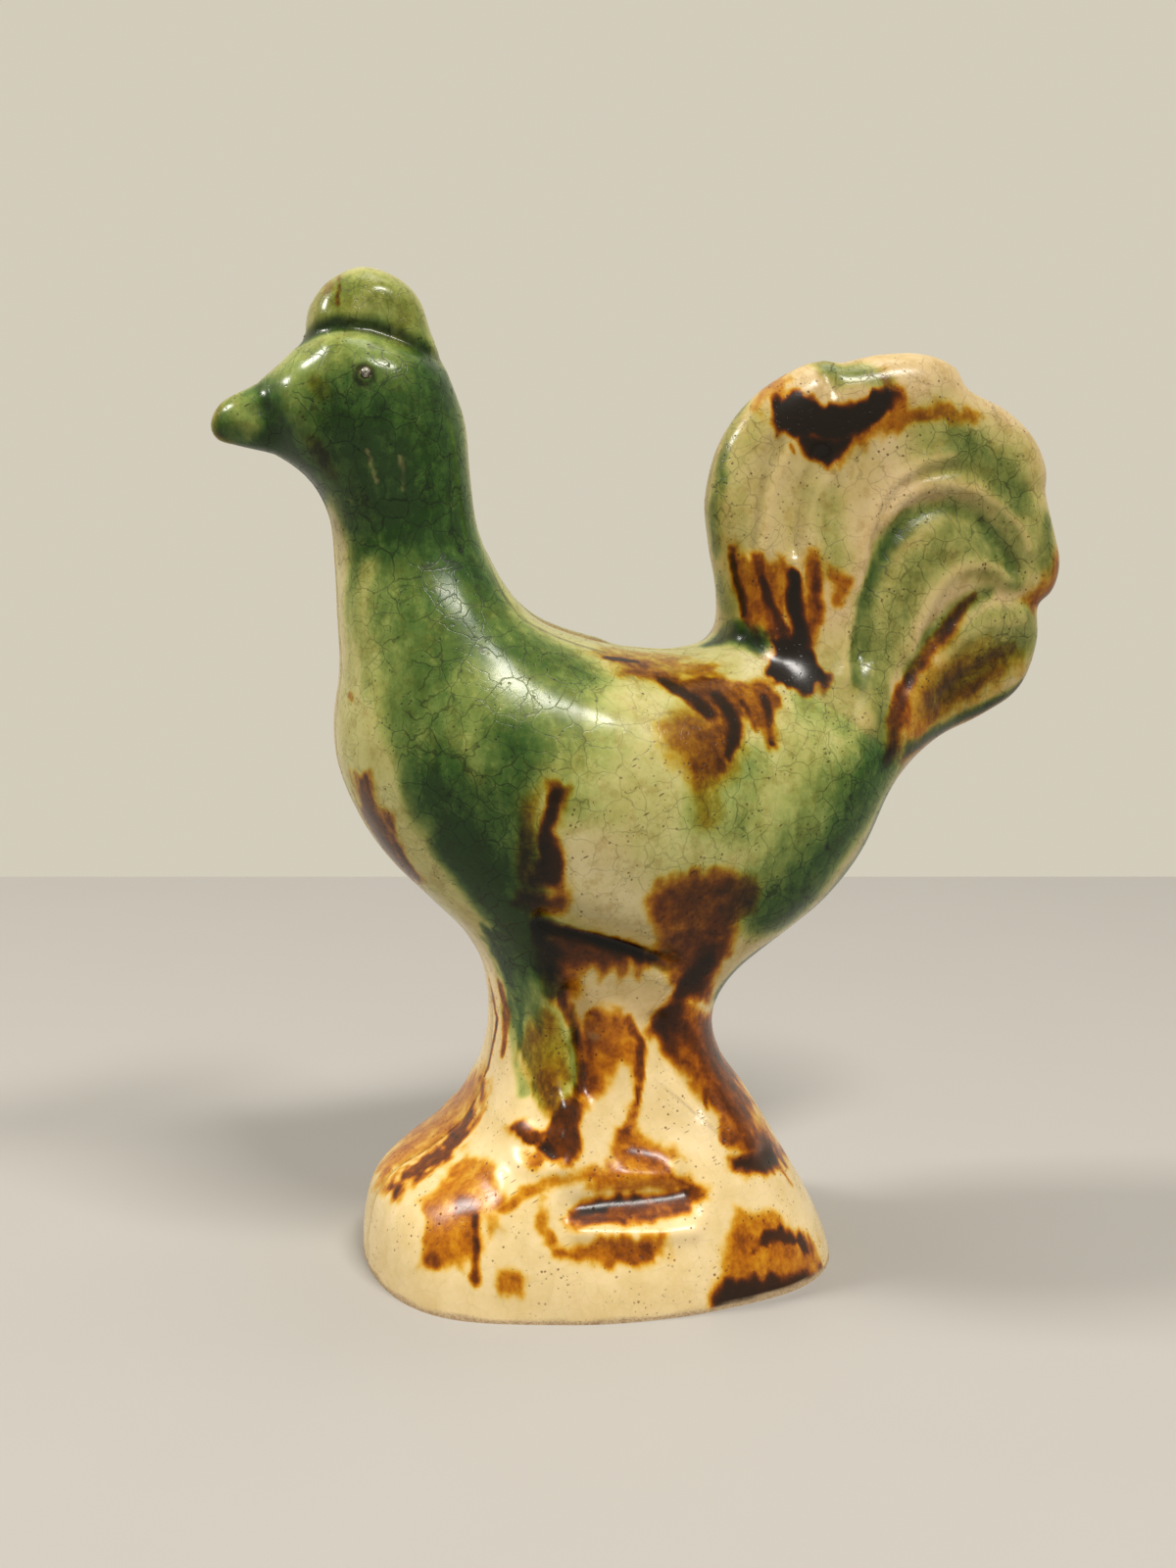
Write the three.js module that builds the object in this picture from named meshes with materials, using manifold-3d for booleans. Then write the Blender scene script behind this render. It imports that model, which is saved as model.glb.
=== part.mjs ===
// Creamware rooster figurine: a hollow two-part pressing with a separate comb, tail and mound base.
// Millimetres, +Z up, the bird looks along -X and its own left side is -Y.
import * as THREE from 'three';
import { mergeVertices } from 'three/addons/utils/BufferGeometryUtils.js';
import Module from 'manifold-3d';

const wasm = await Module();
wasm.setup();

// Heights: the waist joint above the table, then each place above or below the one it hangs from
const shoulderHeight = 13.9;
const jointHeight = 36.5;
const bodyRise = 51.3;
const breastDrop = 10.8;
const rumpDrop = 21.3;
const neckRise = 31;
const throatDrop = 11.8;
const eyeRise = 6.9;
const crownRise = 11.8;
const combRise = 9.4;
const tailRise = 41.2;
const tailTipRise = 11.2;
const backHeight = jointHeight + bodyRise;
const breastHeight = backHeight - breastDrop;
const rumpHeight = backHeight - rumpDrop;
const beakHeight = backHeight + neckRise;
const throatHeight = beakHeight - throatDrop;
const eyeHeight = beakHeight + eyeRise;
const combFoot = beakHeight + crownRise;
const combTop = combFoot + combRise;
const tailTop = backHeight + tailRise;
const tailTipHeight = backHeight + tailTipRise;

// Reaches from the middle of the waist, forwards (-X) or backwards (+X)
const beakReach = 55.5;
const neckFront = 39.2;
const neckBack = 20.7;
const breastReach = 39.7;
const rumpReach = 40.4;
const waistFront = 18.2;
const waistBack = 13.8;
const footFront = 36.6;
const footBack = 31.2;
const tailLead = 13.5;
const tailReach = 68;

// Full widths across the parting plane
const beakWidth = 9;
const headWidth = 22;
const neckWidth = 20;
const bodyWidth = 48;
const waistWidth = 27;
const baseWidth = 57;
const combWidth = 9;
const tailWidth = 11;

// Walls, joints and inner clay
const birdWall = 4;
const baseWall = 5;
const seamGap = 0.3;
const rollRadius = 2;
const rollBite = 1;
const rollFoot = 6;
const eyeRadius = 1.3;

// Relief on the tail and the base
const grooveDepth = 1.2;
const featherDepth = 1;
const legRise = 1.6;
const ridgeRise = 0.8;
const hollowDepth = 1.4;

// Mesh fineness
const planeStep = 1;
const bodyCell = 3.8;
const headCell = 2.6;
const tailCell = 2.4;
const cavityCell = 6;

// The form runs on this far below the table, where it is cut off
const sunk = 12;

// Parting-plane outline, up over the head from the beak tip, then round the tail, foot and breast
const headOutline = [
  [-beakReach, beakHeight],
  [1.3 - beakReach, beakHeight + 2.9],
  [6 - beakReach, beakHeight + 5.7],
  [9.9 - beakReach, beakHeight + 8.8],
];
const combOutline = [
  [-neckFront - 3.7, combFoot + 0.3],
  [-neckFront - 2.8, combFoot + 3.9],
  [-neckFront - 0.2, combTop - 1.9],
  [-neckFront + 4.2, combTop],
  [-neckFront + 9, combTop - 1.4],
  [-neckBack - 6.7, combTop - 4.1],
  [-neckBack - 5.1, combFoot + 0.6],
];
const napeOutline = [
  [-neckBack - 2.8, combFoot - 5.2],
  [-neckBack - 0.7, beakHeight + 0.7],
  [-neckBack, throatHeight + 5],
  [-neckBack + 1, throatHeight - 2],
  [-neckBack + 3.8, backHeight + 10.9],
  [-neckBack + 8.7, backHeight + 5],
  [-neckBack + 15.5, backHeight + 2],
  [tailLead - 9.2, backHeight],
  [tailLead - 2.2, backHeight],
];

// Places on the fan of the tail: a share of the way from its leading edge to its tip, and a share of the way
// up from its rearmost point to its top, or down from that point to the rump
const fan = (across, up) => [
  THREE.MathUtils.lerp(tailLead, tailReach, across),
  THREE.MathUtils.lerp(tailTipHeight, tailTop, up),
];
const lowerFan = (across, down) => [
  THREE.MathUtils.lerp(tailLead, tailReach, across),
  THREE.MathUtils.lerp(tailTipHeight, rumpHeight, down),
];
const tailOutline = [
  [tailLead + 1.6, backHeight + 1.8],
  fan(0.035, -0.13),
  fan(0.01, 0.12),
  fan(0, 0.33),
  fan(0.04, 0.6),
  fan(0.14, 0.82),
  fan(0.3, 0.97),
  fan(0.36, 0.96),
  fan(0.47, 1),
  fan(0.6, 1),
  fan(0.68, 0.94),
  fan(0.71, 0.85),
  fan(0.83, 0.74),
  fan(0.91, 0.61),
  fan(0.95, 0.45),
  fan(0.95, 0.34),
  fan(0.98, 0.15),
  fan(1, 0),
  lowerFan(0.98, 0.13),
  lowerFan(0.94, 0.2),
  lowerFan(0.94, 0.35),
  lowerFan(0.89, 0.57),
  lowerFan(0.78, 0.69),
  lowerFan(0.65, 0.78),
  lowerFan(0.56, 0.88),
];
const rumpOutline = [
  [rumpReach, rumpHeight],
  [rumpReach - 3.9, rumpHeight - 8.5],
  [rumpReach - 10, rumpHeight - 15.7],
  [waistBack + 8.8, jointHeight + 8.8],
  [waistBack + 2.3, jointHeight + 4],
  [waistBack, jointHeight - 1],
];
const baseOutline = [
  [waistBack + 1, jointHeight - 6.5],
  [waistBack + 5.3, shoulderHeight + 9.6],
  [footBack - 7.4, shoulderHeight + 1.6],
  [footBack - 2.6, shoulderHeight - 6.9],
  [footBack, 0],
  [footBack, -sunk / 2],
  [footBack - 6, -sunk],
  [6 - footFront, -sunk],
  [-footFront, -sunk / 2],
  [-footFront, 0],
  [0.2 - footFront, shoulderHeight - 8.9],
  [1.6 - footFront, shoulderHeight - 3.1],
  [4.2 - footFront, shoulderHeight],
  [8.8 - footFront, shoulderHeight + 2.7],
  [-waistFront - 4.1, shoulderHeight + 6.9],
  [-waistFront - 1.4, shoulderHeight + 12.1],
  [-waistFront - 0.1, jointHeight - 4.5],
];
const breastOutline = [
  [-waistFront, jointHeight + 1.5],
  [-waistFront - 0.8, jointHeight + 6.5],
  [-waistFront - 3.7, jointHeight + 11.7],
  [12.5 - breastReach, breastHeight - 23.2],
  [6.5 - breastReach, breastHeight - 16.8],
  [2.5 - breastReach, breastHeight - 10],
  [0.4 - breastReach, breastHeight - 4],
  [-breastReach, breastHeight + 2],
  [0.9 - breastReach, breastHeight + 8.5],
  [0.2 - neckFront, throatHeight - 14],
  [-neckFront - 0.1, throatHeight - 6],
  [-neckFront - 0.7, throatHeight - 0.2],
  [-neckFront - 3.1, throatHeight + 4.5],
  [9 - beakReach, beakHeight - 4.1],
  [4 - beakReach, beakHeight - 2.7],
  [0.9 - beakReach, beakHeight - 1.8],
];
const figureOutline = [
  headOutline, combOutline, napeOutline, tailOutline, rumpOutline, baseOutline, breastOutline,
].flat();

// Gauge points: where on the plane, half width there, and how far in from the outline it rolls over
const gauges = [
  { at: [3 - beakReach, beakHeight], half: beakWidth * 0.4, roll: 3 },
  { at: [9 - beakReach, beakHeight + 1], half: beakWidth * 0.75, roll: 4 },
  { at: [-neckFront + 7, eyeHeight - 2], half: headWidth / 2, roll: 7 },
  { at: [-neckFront + 9, throatHeight + 6], half: headWidth * 0.48, roll: 8 },
  { at: [-neckFront + 9, combTop - 3.5], half: combWidth / 2, roll: 2.5 },
  { at: [-neckFront + 8, combFoot + 2], half: combWidth * 0.6, roll: 3 },
  { at: [-neckFront + 9, throatHeight - 4], half: neckWidth / 2, roll: 8 },
  { at: [-neckFront + 12, backHeight + 4], half: neckWidth * 0.75, roll: 9 },
  { at: [15 - breastReach, breastHeight - 4], half: bodyWidth * 0.44, roll: 12 },
  { at: [0, breastHeight - 10], half: bodyWidth / 2, roll: 12 },
  { at: [rumpReach - 16, rumpHeight + 2], half: bodyWidth * 0.38, roll: 11 },
  { at: [-1, jointHeight + 13], half: bodyWidth * 0.4, roll: 9 },
  { at: [tailLead + 13, backHeight + 1], half: tailWidth * 0.85, roll: 5 },
  { at: fan(0.26, 0.47), half: tailWidth / 2, roll: 3.5 },
  { at: fan(0.7, 0.27), half: tailWidth / 2, roll: 3.5 },
  { at: fan(0.7, -0.4), half: tailWidth / 2, roll: 3.5 },
  { at: [-1, jointHeight], half: waistWidth / 2, roll: 5 },
  { at: [-1, jointHeight - 12], half: waistWidth * 0.62, roll: 5 },
];
const footStations = [
  { x: -0.6 * footFront, taper: 0.87 },
  { x: (footBack - footFront) / 2, taper: 1 },
  { x: 0.55 * footBack, taper: 0.87 },
];
for (const { x, taper } of footStations) {
  gauges.push({ at: [x, shoulderHeight], half: baseWidth * 0.42 * taper, roll: 6 });
  gauges.push({ at: [x, 3], half: (baseWidth / 2) * taper, roll: 8 });
  gauges.push({ at: [x, -sunk / 2], half: (baseWidth / 2) * taper, roll: 8 });
}

// Raised and sunken strokes on both faces: a line of points, a half width and a height
const reliefs = [];
function stroke(height, half, points) {
  reliefs.push({ height, half, points });
}

// A groove round the comb's foot
const crown = [[-neckFront - 5, 0.3], [-neckFront + 5, 1], [1 - neckBack, -0.5]];
stroke(-grooveDepth, 1.6, crown.map(([x, rise]) => [x, combFoot + rise]));

// Sickle feathers arch over towards the tail's tip, and straight barbs run up behind its leading edge
const outerRib = [
  [0.34, -0.3], [0.38, 0.03], [0.43, 0.27], [0.53, 0.47], [0.67, 0.45], [0.79, 0.32], [0.87, 0.12],
];
const outerGroove = [
  [0.38, -0.23], [0.41, 0], [0.48, 0.18], [0.58, 0.29], [0.7, 0.29], [0.78, 0.15], [0.84, -0.07],
];
const innerRib = [[0.48, -0.47], [0.55, -0.2], [0.63, -0.03], [0.72, 0], [0.82, -0.09]];
const innerGroove = [[0.46, -0.57], [0.56, -0.35], [0.65, -0.2], [0.72, -0.14]];
const leadingBarb = [[0.11, -0.2], [0.1, 0.13], [0.12, 0.37], [0.17, 0.57]];
const secondBarb = [[0.23, -0.2], [0.23, 0.17], [0.28, 0.57]];
const onFan = (places) => places.map(([across, up]) => fan(across, up));
stroke(featherDepth, 1.9, onFan(outerRib));
stroke(-featherDepth, 1.9, onFan(outerGroove));
stroke(featherDepth, 1.8, onFan(innerRib));
stroke(-featherDepth, 1.8, onFan(innerGroove));
stroke(-featherDepth, 1.6, onFan(leadingBarb));
stroke(-featherDepth, 1.6, onFan(secondBarb));

// Legs in relief on the base, the near one with its toes forward, and the hollows and ridge of the mound
const fromJoint = (points) => points.map(([x, drop]) => [x, jointHeight - drop]);
const fromShoulder = (points) => points.map(([x, rise]) => [x, shoulderHeight + rise]);
const frontLeg = [[5.6 - waistFront, 1], [6 - waistFront, 8], [6.5 - waistFront, 15]];
const frontToes = [[5.5 - waistFront, 16], [-waistFront, 13.5]];
const rearLeg = [[waistBack - 7, 0], [waistBack - 5.5, 7], [waistBack - 2.5, 13], [waistBack + 1, 18]];
stroke(legRise, 3.2, fromJoint(frontLeg));
stroke(legRise, 2.4, fromJoint(frontToes));
stroke(legRise, 3.6, fromJoint(rearLeg));
stroke(-hollowDepth, 2.8, fromShoulder([[-9, 2], [-4, 1], [5, 1]]));
stroke(ridgeRise, 2.6, fromShoulder([[-15, -3], [-4, -3.2], [5, -4]]));
stroke(-hollowDepth, 3, fromShoulder([[6.5 - footFront, -2], [14 - footFront, 1]]));

const outlineCurve = new THREE.CatmullRomCurve3(
  figureOutline.map(([x, z]) => new THREE.Vector3(x, 0, z)),
  true,
  'centripetal',
);
const outlinePoints = outlineCurve.getPoints(figureOutline.length * 8).slice(0, -1);

function distanceToLine(x, z, points, closed) {
  let best = Infinity;
  const count = closed ? points.length : points.length - 1;
  for (let i = 0; i < count; i++) {
    const [ax, az] = points[i];
    const [bx, bz] = points[(i + 1) % points.length];
    const dx = bx - ax;
    const dz = bz - az;
    const along = ((x - ax) * dx + (z - az) * dz) / (dx * dx + dz * dz);
    const t = Math.min(1, Math.max(0, along));
    best = Math.min(best, Math.hypot(x - ax - t * dx, z - az - t * dz));
  }
  return best;
}

function isInside(x, z, points) {
  let inside = false;
  points.forEach(([ax, az], i) => {
    const [bx, bz] = points[(i + 1) % points.length];
    if (az > z !== bz > z && x < ax + ((z - az) / (bz - az)) * (bx - ax)) {
      inside = !inside;
    }
  });
  return inside;
}

// Blend of the gauge points at one place, nearest first, as the share of each
function gaugeShares(x, z) {
  const weights = gauges.map(({ at }) => 1 / ((x - at[0]) ** 2 + (z - at[1]) ** 2 + 9) ** 2);
  const total = weights.reduce((sum, weight) => sum + weight, 0);
  return weights.map((weight) => weight / total);
}

function reliefAt(x, z) {
  let rise = 0;
  for (const { height, half, points } of reliefs) {
    const away = distanceToLine(x, z, points, false) / half;
    rise += height * Math.exp(-away * away);
  }
  return rise;
}

// Squared half width over the parting plane. It swells from nothing at the outline, as a stretched membrane
// under pressure does, and goes negative outside. The pressure at each gauge is tuned until its width is met.
function solveForm() {
  const line = outlinePoints.map((p) => [p.x, p.z]);
  const margin = 4 * planeStep;
  const x0 = Math.min(...line.map((p) => p[0])) - margin;
  const z0 = Math.min(...line.map((p) => p[1])) - margin;
  const columns = Math.ceil((Math.max(...line.map((p) => p[0])) + margin - x0) / planeStep) + 1;
  const rows = Math.ceil((Math.max(...line.map((p) => p[1])) + margin - z0) / planeStep) + 1;
  const size = columns * rows;
  const depth = new Float64Array(size);
  const pull = new Float64Array(size);
  const shares = [];
  for (let i = 0; i < size; i++) {
    const x = x0 + (i % columns) * planeStep;
    const z = z0 + Math.floor(i / columns) * planeStep;
    const distance = Math.max(0.02, distanceToLine(x, z, line, true));
    depth[i] = isInside(x, z, line) ? distance : -distance;
    shares.push(gaugeShares(x, z));
    const roll = shares[i].reduce((sum, share, n) => sum + share * gauges[n].roll, 0);
    pull[i] = (planeStep / roll) ** 2;
  }
  const neighbours = [-1, 1, -columns, columns];
  const form = new Float64Array(size);
  const pressures = gauges.map(({ half }) => half ** 2);
  const gaugeIndex = gauges.map(({ at }) =>
    Math.round((at[1] - z0) / planeStep) * columns + Math.round((at[0] - x0) / planeStep));
  const tunings = 6;
  for (let tuning = 0; tuning < tunings; tuning++) {
    relax(form, depth, pull, shares, pressures, neighbours);
    gauges.forEach(({ half }, n) => {
      const ratio = half ** 2 / Math.max(1, form[gaugeIndex[n]]);
      pressures[n] *= THREE.MathUtils.clamp(ratio, 0.7, 1.4);
    });
  }
  // Slope of the form at the outline, carried outwards a few steps, extends it beyond
  const slope = form.map((value, i) => (depth[i] > planeStep / 2 ? value / depth[i] : 0));
  const known = slope.map((value) => (value > 0 ? 1 : 0));
  for (let ring = 0; ring < 8; ring++) {
    const before = known.slice();
    for (let i = columns; i < size - columns; i++) {
      const near = neighbours.filter((step) => before[i + step]);
      if (!before[i] && near.length > 0) {
        slope[i] = near.reduce((sum, step) => sum + slope[i + step], 0) / near.length;
        known[i] = 1;
      }
    }
  }
  const far = Math.max(...slope) / 4;
  const value = slope.map((rate, i) => {
    const plain = (known[i] ? rate : far) * depth[i];
    const rise = reliefAt(x0 + (i % columns) * planeStep, z0 + Math.floor(i / columns) * planeStep);
    return plain > 0 ? plain + 2 * rise * Math.sqrt(plain) : plain;
  });
  return (x, z) => {
    const column = THREE.MathUtils.clamp((x - x0) / planeStep, 0, columns - 2);
    const row = THREE.MathUtils.clamp((z - z0) / planeStep, 0, rows - 2);
    const i = Math.floor(row) * columns + Math.floor(column);
    const s = column - Math.floor(column);
    const t = row - Math.floor(row);
    const low = value[i] * (1 - s) + value[i + 1] * s;
    const high = value[i + columns] * (1 - s) + value[i + columns + 1] * s;
    return low * (1 - t) + high * t;
  };
}

// Over-relaxed sweeps of the membrane. A neighbour beyond the outline takes the slope that makes the form
// vanish on the outline itself.
function relax(form, depth, pull, shares, pressures, neighbours) {
  const sweeps = 120;
  const overshoot = 1.85;
  const pressureAt = (share) => share.reduce((sum, part, n) => sum + part * pressures[n], 0);
  const push = shares.map((share, i) => pull[i] * pressureAt(share));
  const inner = push.flatMap((_, i) => (depth[i] > 0 ? [i] : []));
  for (let sweep = 0; sweep < sweeps; sweep++) {
    for (const i of inner) {
      let sum = push[i];
      let total = 4 + pull[i];
      for (const step of neighbours) {
        if (depth[i + step] > 0) {
          sum += form[i + step];
        } else {
          total += Math.min(8, -depth[i + step] / depth[i]);
        }
      }
      form[i] += overshoot * (sum / total - form[i]);
    }
  }
}
const formAt = solveForm();
const outerSkin = (x, y, z) => formAt(x, z) - y * y;

// Rough depth under a surface where the field is zero
function depthUnder(field, x, y, z) {
  const h = 0.5;
  const gx = (field(x + h, y, z) - field(x - h, y, z)) / (2 * h);
  const gy = (field(x, y + h, z) - field(x, y - h, z)) / (2 * h);
  const gz = (field(x, y, z + h) - field(x, y, z - h)) / (2 * h);
  return field(x, y, z) / Math.max(1, Math.hypot(gx, gy, gz));
}

// Grid lines from one place to another, a step apart
function gridLines(from, to, step) {
  const count = Math.ceil((to - from) / step);
  return Array.from({ length: count + 1 }, (_, i) => from + ((to - from) * i) / count);
}

function solidFromTriangles(positions, triangles) {
  const mesh = new wasm.Mesh({
    numProp: 3,
    vertProperties: Float32Array.from(positions),
    triVerts: Uint32Array.from(triangles),
  });
  return new wasm.Manifold(mesh);
}

// Closed surface where the field is zero, with one vertex in each grid cell that it passes through. The grid's
// own box closes it off.
function surfaceSolid(field, xs, ys, zs) {
  const [nx, ny, nz] = [xs.length, ys.length, zs.length];
  const at = (i, j, k) => (k * ny + j) * nx + i;
  const clipped = (x, y, z) => Math.min(
    field(x, y, z),
    10 * Math.min(
      x - xs[0], xs[nx - 1] - x, y - ys[0], ys[ny - 1] - y, z - zs[0], zs[nz - 1] - z,
    ),
  );
  const values = new Float64Array(nx * ny * nz);
  for (let k = 0; k < nz; k++) {
    for (let j = 0; j < ny; j++) {
      for (let i = 0; i < nx; i++) {
        values[at(i, j, k)] = clipped(xs[i], ys[j], zs[k]);
      }
    }
  }
  joinDiagonals(values, nx, ny, nz);
  const corner = (n) => [n & 1, (n >> 1) & 1, (n >> 2) & 1];
  const positions = [];
  const vertexOf = new Map();
  const vertexIn = (i, j, k) => {
    const key = at(i, j, k);
    if (vertexOf.has(key)) {
      return vertexOf.get(key);
    }
    const sum = new THREE.Vector3();
    let crossings = 0;
    for (let n = 0; n < 8; n++) {
      for (const bit of [1, 2, 4]) {
        const m = n | bit;
        if (m === n) {
          continue;
        }
        const [a, b, c] = corner(n);
        const [d, e, f] = corner(m);
        const va = values[at(i + a, j + b, k + c)];
        const vb = values[at(i + d, j + e, k + f)];
        if (va > 0 !== vb > 0) {
          const from = new THREE.Vector3(xs[i + a], ys[j + b], zs[k + c]);
          const to = new THREE.Vector3(xs[i + d], ys[j + e], zs[k + f]);
          sum.add(from.lerp(to, va / (va - vb)));
          crossings++;
        }
      }
    }
    sum.divideScalar(crossings);
    settle(clipped, sum, (xs[i + 1] - xs[i]) / 2);
    vertexOf.set(key, positions.length / 3);
    positions.push(sum.x, sum.y, sum.z);
    return positions.length / 3 - 1;
  };
  const triangles = [];
  const steps = [[1, 0, 0], [0, 1, 0], [0, 0, 1]];
  for (let k = 0; k < nz - 1; k++) {
    for (let j = 0; j < ny - 1; j++) {
      for (let i = 0; i < nx - 1; i++) {
        const here = values[at(i, j, k)] > 0;
        steps.forEach(([di, dj, dk], axis) => {
          if (here === values[at(i + di, j + dj, k + dk)] > 0) {
            return;
          }
          const [u, v] = [steps[(axis + 1) % 3], steps[(axis + 2) % 3]];
          const ring = [[0, 0], [1, 0], [1, 1], [0, 1]].map(([p, q]) =>
            vertexIn(i - p * u[0] - q * v[0], j - p * u[1] - q * v[1], k - p * u[2] - q * v[2]));
          if (!here) {
            ring.reverse();
          }
          triangles.push(...splitQuad(ring, positions));
        });
      }
    }
  }
  return solidFromTriangles(positions, triangles);
}

// Where only two opposite corners of a grid face are inside, the surface would pinch. The nearer of the other
// two corners is taken inside as well.
function joinDiagonals(values, nx, ny, nz) {
  const strides = [1, nx, nx * ny];
  const barely = 1e-3;
  let changed = true;
  while (changed) {
    changed = false;
    for (let i = 0; i < values.length - nx * ny - nx - 1; i++) {
      for (const [a, b] of [[0, 1], [1, 2], [2, 0]]) {
        const ring = [i, i + strides[a], i + strides[a] + strides[b], i + strides[b]];
        const inside = ring.map((n) => values[n] > 0);
        if (inside[0] === inside[2] && inside[1] === inside[3] && inside[0] !== inside[1]) {
          const [p, q] = inside[0] ? [ring[1], ring[3]] : [ring[0], ring[2]];
          values[values[p] > values[q] ? p : q] = barely;
          changed = true;
        }
      }
    }
  }
}

// Slides a point along the slope of the field onto the surface, no further than a limit
function settle(field, point, limit) {
  const h = 0.3;
  const start = point.clone();
  for (let turn = 0; turn < 4; turn++) {
    const { x, y, z } = point;
    const slope = new THREE.Vector3(
      field(x + h, y, z) - field(x - h, y, z),
      field(x, y + h, z) - field(x, y - h, z),
      field(x, y, z + h) - field(x, y, z - h),
    ).divideScalar(2 * h);
    point.addScaledVector(slope, -field(x, y, z) / Math.max(0.5, slope.lengthSq()));
  }
  point.sub(start).clampLength(0, limit).add(start);
}

function splitQuad([a, b, c, d], positions) {
  const point = (n) => new THREE.Vector3().fromArray(positions, 3 * n);
  const shortFirst = point(a).distanceTo(point(c)) < point(b).distanceTo(point(d));
  return shortFirst ? [a, b, c, a, c, d] : [a, b, d, b, c, d];
}

function solidFromGeometry(geometry) {
  geometry.deleteAttribute('normal');
  geometry.deleteAttribute('uv');
  const merged = mergeVertices(geometry, 1e-4);
  return solidFromTriangles(merged.attributes.position.array, merged.index.array);
}

function geometryFromSolid(solid) {
  const mesh = solid.getMesh();
  const geometry = new THREE.BufferGeometry();
  geometry.setAttribute('position', new THREE.BufferAttribute(mesh.vertProperties, 3));
  geometry.setIndex(new THREE.BufferAttribute(mesh.triVerts, 1));
  return geometry;
}

// Half-space blocks that cut the figure into its pieces
const blockSize = 400;
function blockAbove(height) {
  const geometry = new THREE.BoxGeometry(blockSize, blockSize, blockSize);
  geometry.translate(0, 0, height + blockSize / 2);
  return solidFromGeometry(geometry);
}

function blockBelow(height) {
  return blockAbove(height - blockSize);
}

function blockOnSide(side) {
  const geometry = new THREE.BoxGeometry(blockSize, blockSize, blockSize);
  geometry.translate(0, (side * (blockSize + seamGap)) / 2, 0);
  return solidFromGeometry(geometry);
}

// The tail's root is a slanting plane from the back to the rump. The block above it clears the neck.
const rootFront = [tailLead + 2, backHeight + 1.5];
const rootBack = [rumpReach + 1.5, rumpHeight + 3];
const rootTilt = Math.atan2(rootBack[1] - rootFront[1], rootBack[0] - rootFront[0]);
const rootBlockReach = 22;
function rootBlock(offset) {
  const geometry = new THREE.BoxGeometry(blockSize, blockSize, blockSize);
  geometry.translate(blockSize / 2 - rootBlockReach, 0, blockSize / 2 + offset);
  geometry.rotateY(-rootTilt);
  geometry.translate(rootFront[0], 0, rootFront[1]);
  return solidFromGeometry(geometry);
}

function aboveRoot(x, z) {
  return (z - rootFront[1]) * Math.cos(rootTilt) - (x - rootFront[0]) * Math.sin(rootTilt);
}

// Outer skin of the whole figure, finer at the head, and a finer skin again for the ribbed tail
const figureSkin = surfaceSolid(
  outerSkin,
  gridLines(-beakReach - 5, tailReach + 5, bodyCell),
  gridLines(-baseWidth / 2 - bodyCell, baseWidth / 2 + bodyCell, bodyCell),
  gridLines(-6, throatHeight, bodyCell).concat(gridLines(throatHeight, combTop + 5, headCell).slice(1)),
);
const tailSkin = surfaceSolid(
  outerSkin,
  gridLines(rootFront[0] - 8, tailReach + 4, tailCell),
  gridLines(-tailWidth * 1.5, tailWidth * 1.5, tailCell),
  gridLines(rootBack[1] - 8, tailTop + 4, tailCell),
);

// Hollow of the body and base, open under the foot. It stops in the neck and short of the tail's root.
function hollowField(x, y, z) {
  const share = THREE.MathUtils.smoothstep(z, jointHeight - 8, jointHeight + 8);
  const wall = THREE.MathUtils.lerp(baseWall, birdWall, share);
  const underSkin = depthUnder(outerSkin, x, y, z) - wall;
  const underRoot = x > rootFront[0] - rootBlockReach ? -aboveRoot(x, z) - birdWall : underSkin;
  return Math.min(underSkin, underRoot);
}
const hollow = surfaceSolid(
  hollowField,
  gridLines(-footFront - 5, rumpReach + 5, cavityCell),
  gridLines(-baseWidth / 2, baseWidth / 2, cavityCell),
  gridLines(-6, throatHeight - 6, cavityCell),
);

// Rolls of clay pressed along the inside of the seam, each bedded a little into the wall
function nearestOutlineIndex([x, z]) {
  const away = outlinePoints.map((p) => Math.hypot(p.x - x, p.z - z));
  return away.indexOf(Math.min(...away));
}

function seamPath(from, to, wall) {
  const first = nearestOutlineIndex(from);
  const count = outlinePoints.length;
  const span = (nearestOutlineIndex(to) - first + count) % count;
  const bends = Math.max(3, Math.round(span / 6));
  const depth = wall + rollRadius - rollBite;
  return Array.from({ length: bends + 1 }, (_, n) => {
    const index = (first + Math.round((span * n) / bends)) % count;
    const before = outlinePoints[(index + count - 2) % count];
    const after = outlinePoints[(index + 2) % count];
    const inward = new THREE.Vector3(after.z - before.z, 0, before.x - after.x).setLength(depth);
    return outlinePoints[index].clone().add(inward);
  });
}

function rollSolid(points, radius, extend) {
  const path = points.map((p) => p.clone());
  const last = path.length - 1;
  path[0].add(points[0].clone().sub(points[1]).setLength(extend));
  path[last].add(points[last].clone().sub(points[last - 1]).setLength(extend));
  const section = new THREE.Shape();
  section.absarc(0, 0, radius, 0, 2 * Math.PI);
  const geometry = new THREE.ExtrudeGeometry(section, {
    extrudePath: new THREE.CatmullRomCurve3(path, false, 'centripetal'),
    steps: path.length + 4,
    curveSegments: 4,
    bevelEnabled: false,
  });
  return solidFromGeometry(geometry);
}

const seams = {
  front_seam_roll: seamPath([-waistFront, jointHeight + 4], [-neckFront, throatHeight - 14], birdWall),
  back_seam_roll: seamPath([-neckBack, throatHeight - 6], [tailLead - 4, backHeight], birdWall),
  rear_seam_roll: seamPath([rumpReach - 1, rumpHeight - 3], [waistBack, jointHeight + 4], birdWall),
  base_rear_seam_roll: seamPath([waistBack, jointHeight - 4], [footBack, rollFoot], baseWall),
  base_front_seam_roll: seamPath([-footFront, rollFoot], [-waistFront, jointHeight - 4], baseWall),
};
const rollGrooves = Object.values(seams)
  .map((points) => rollSolid(points, rollRadius + seamGap, seamGap))
  .reduce((all, groove) => all.add(groove));

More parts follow.
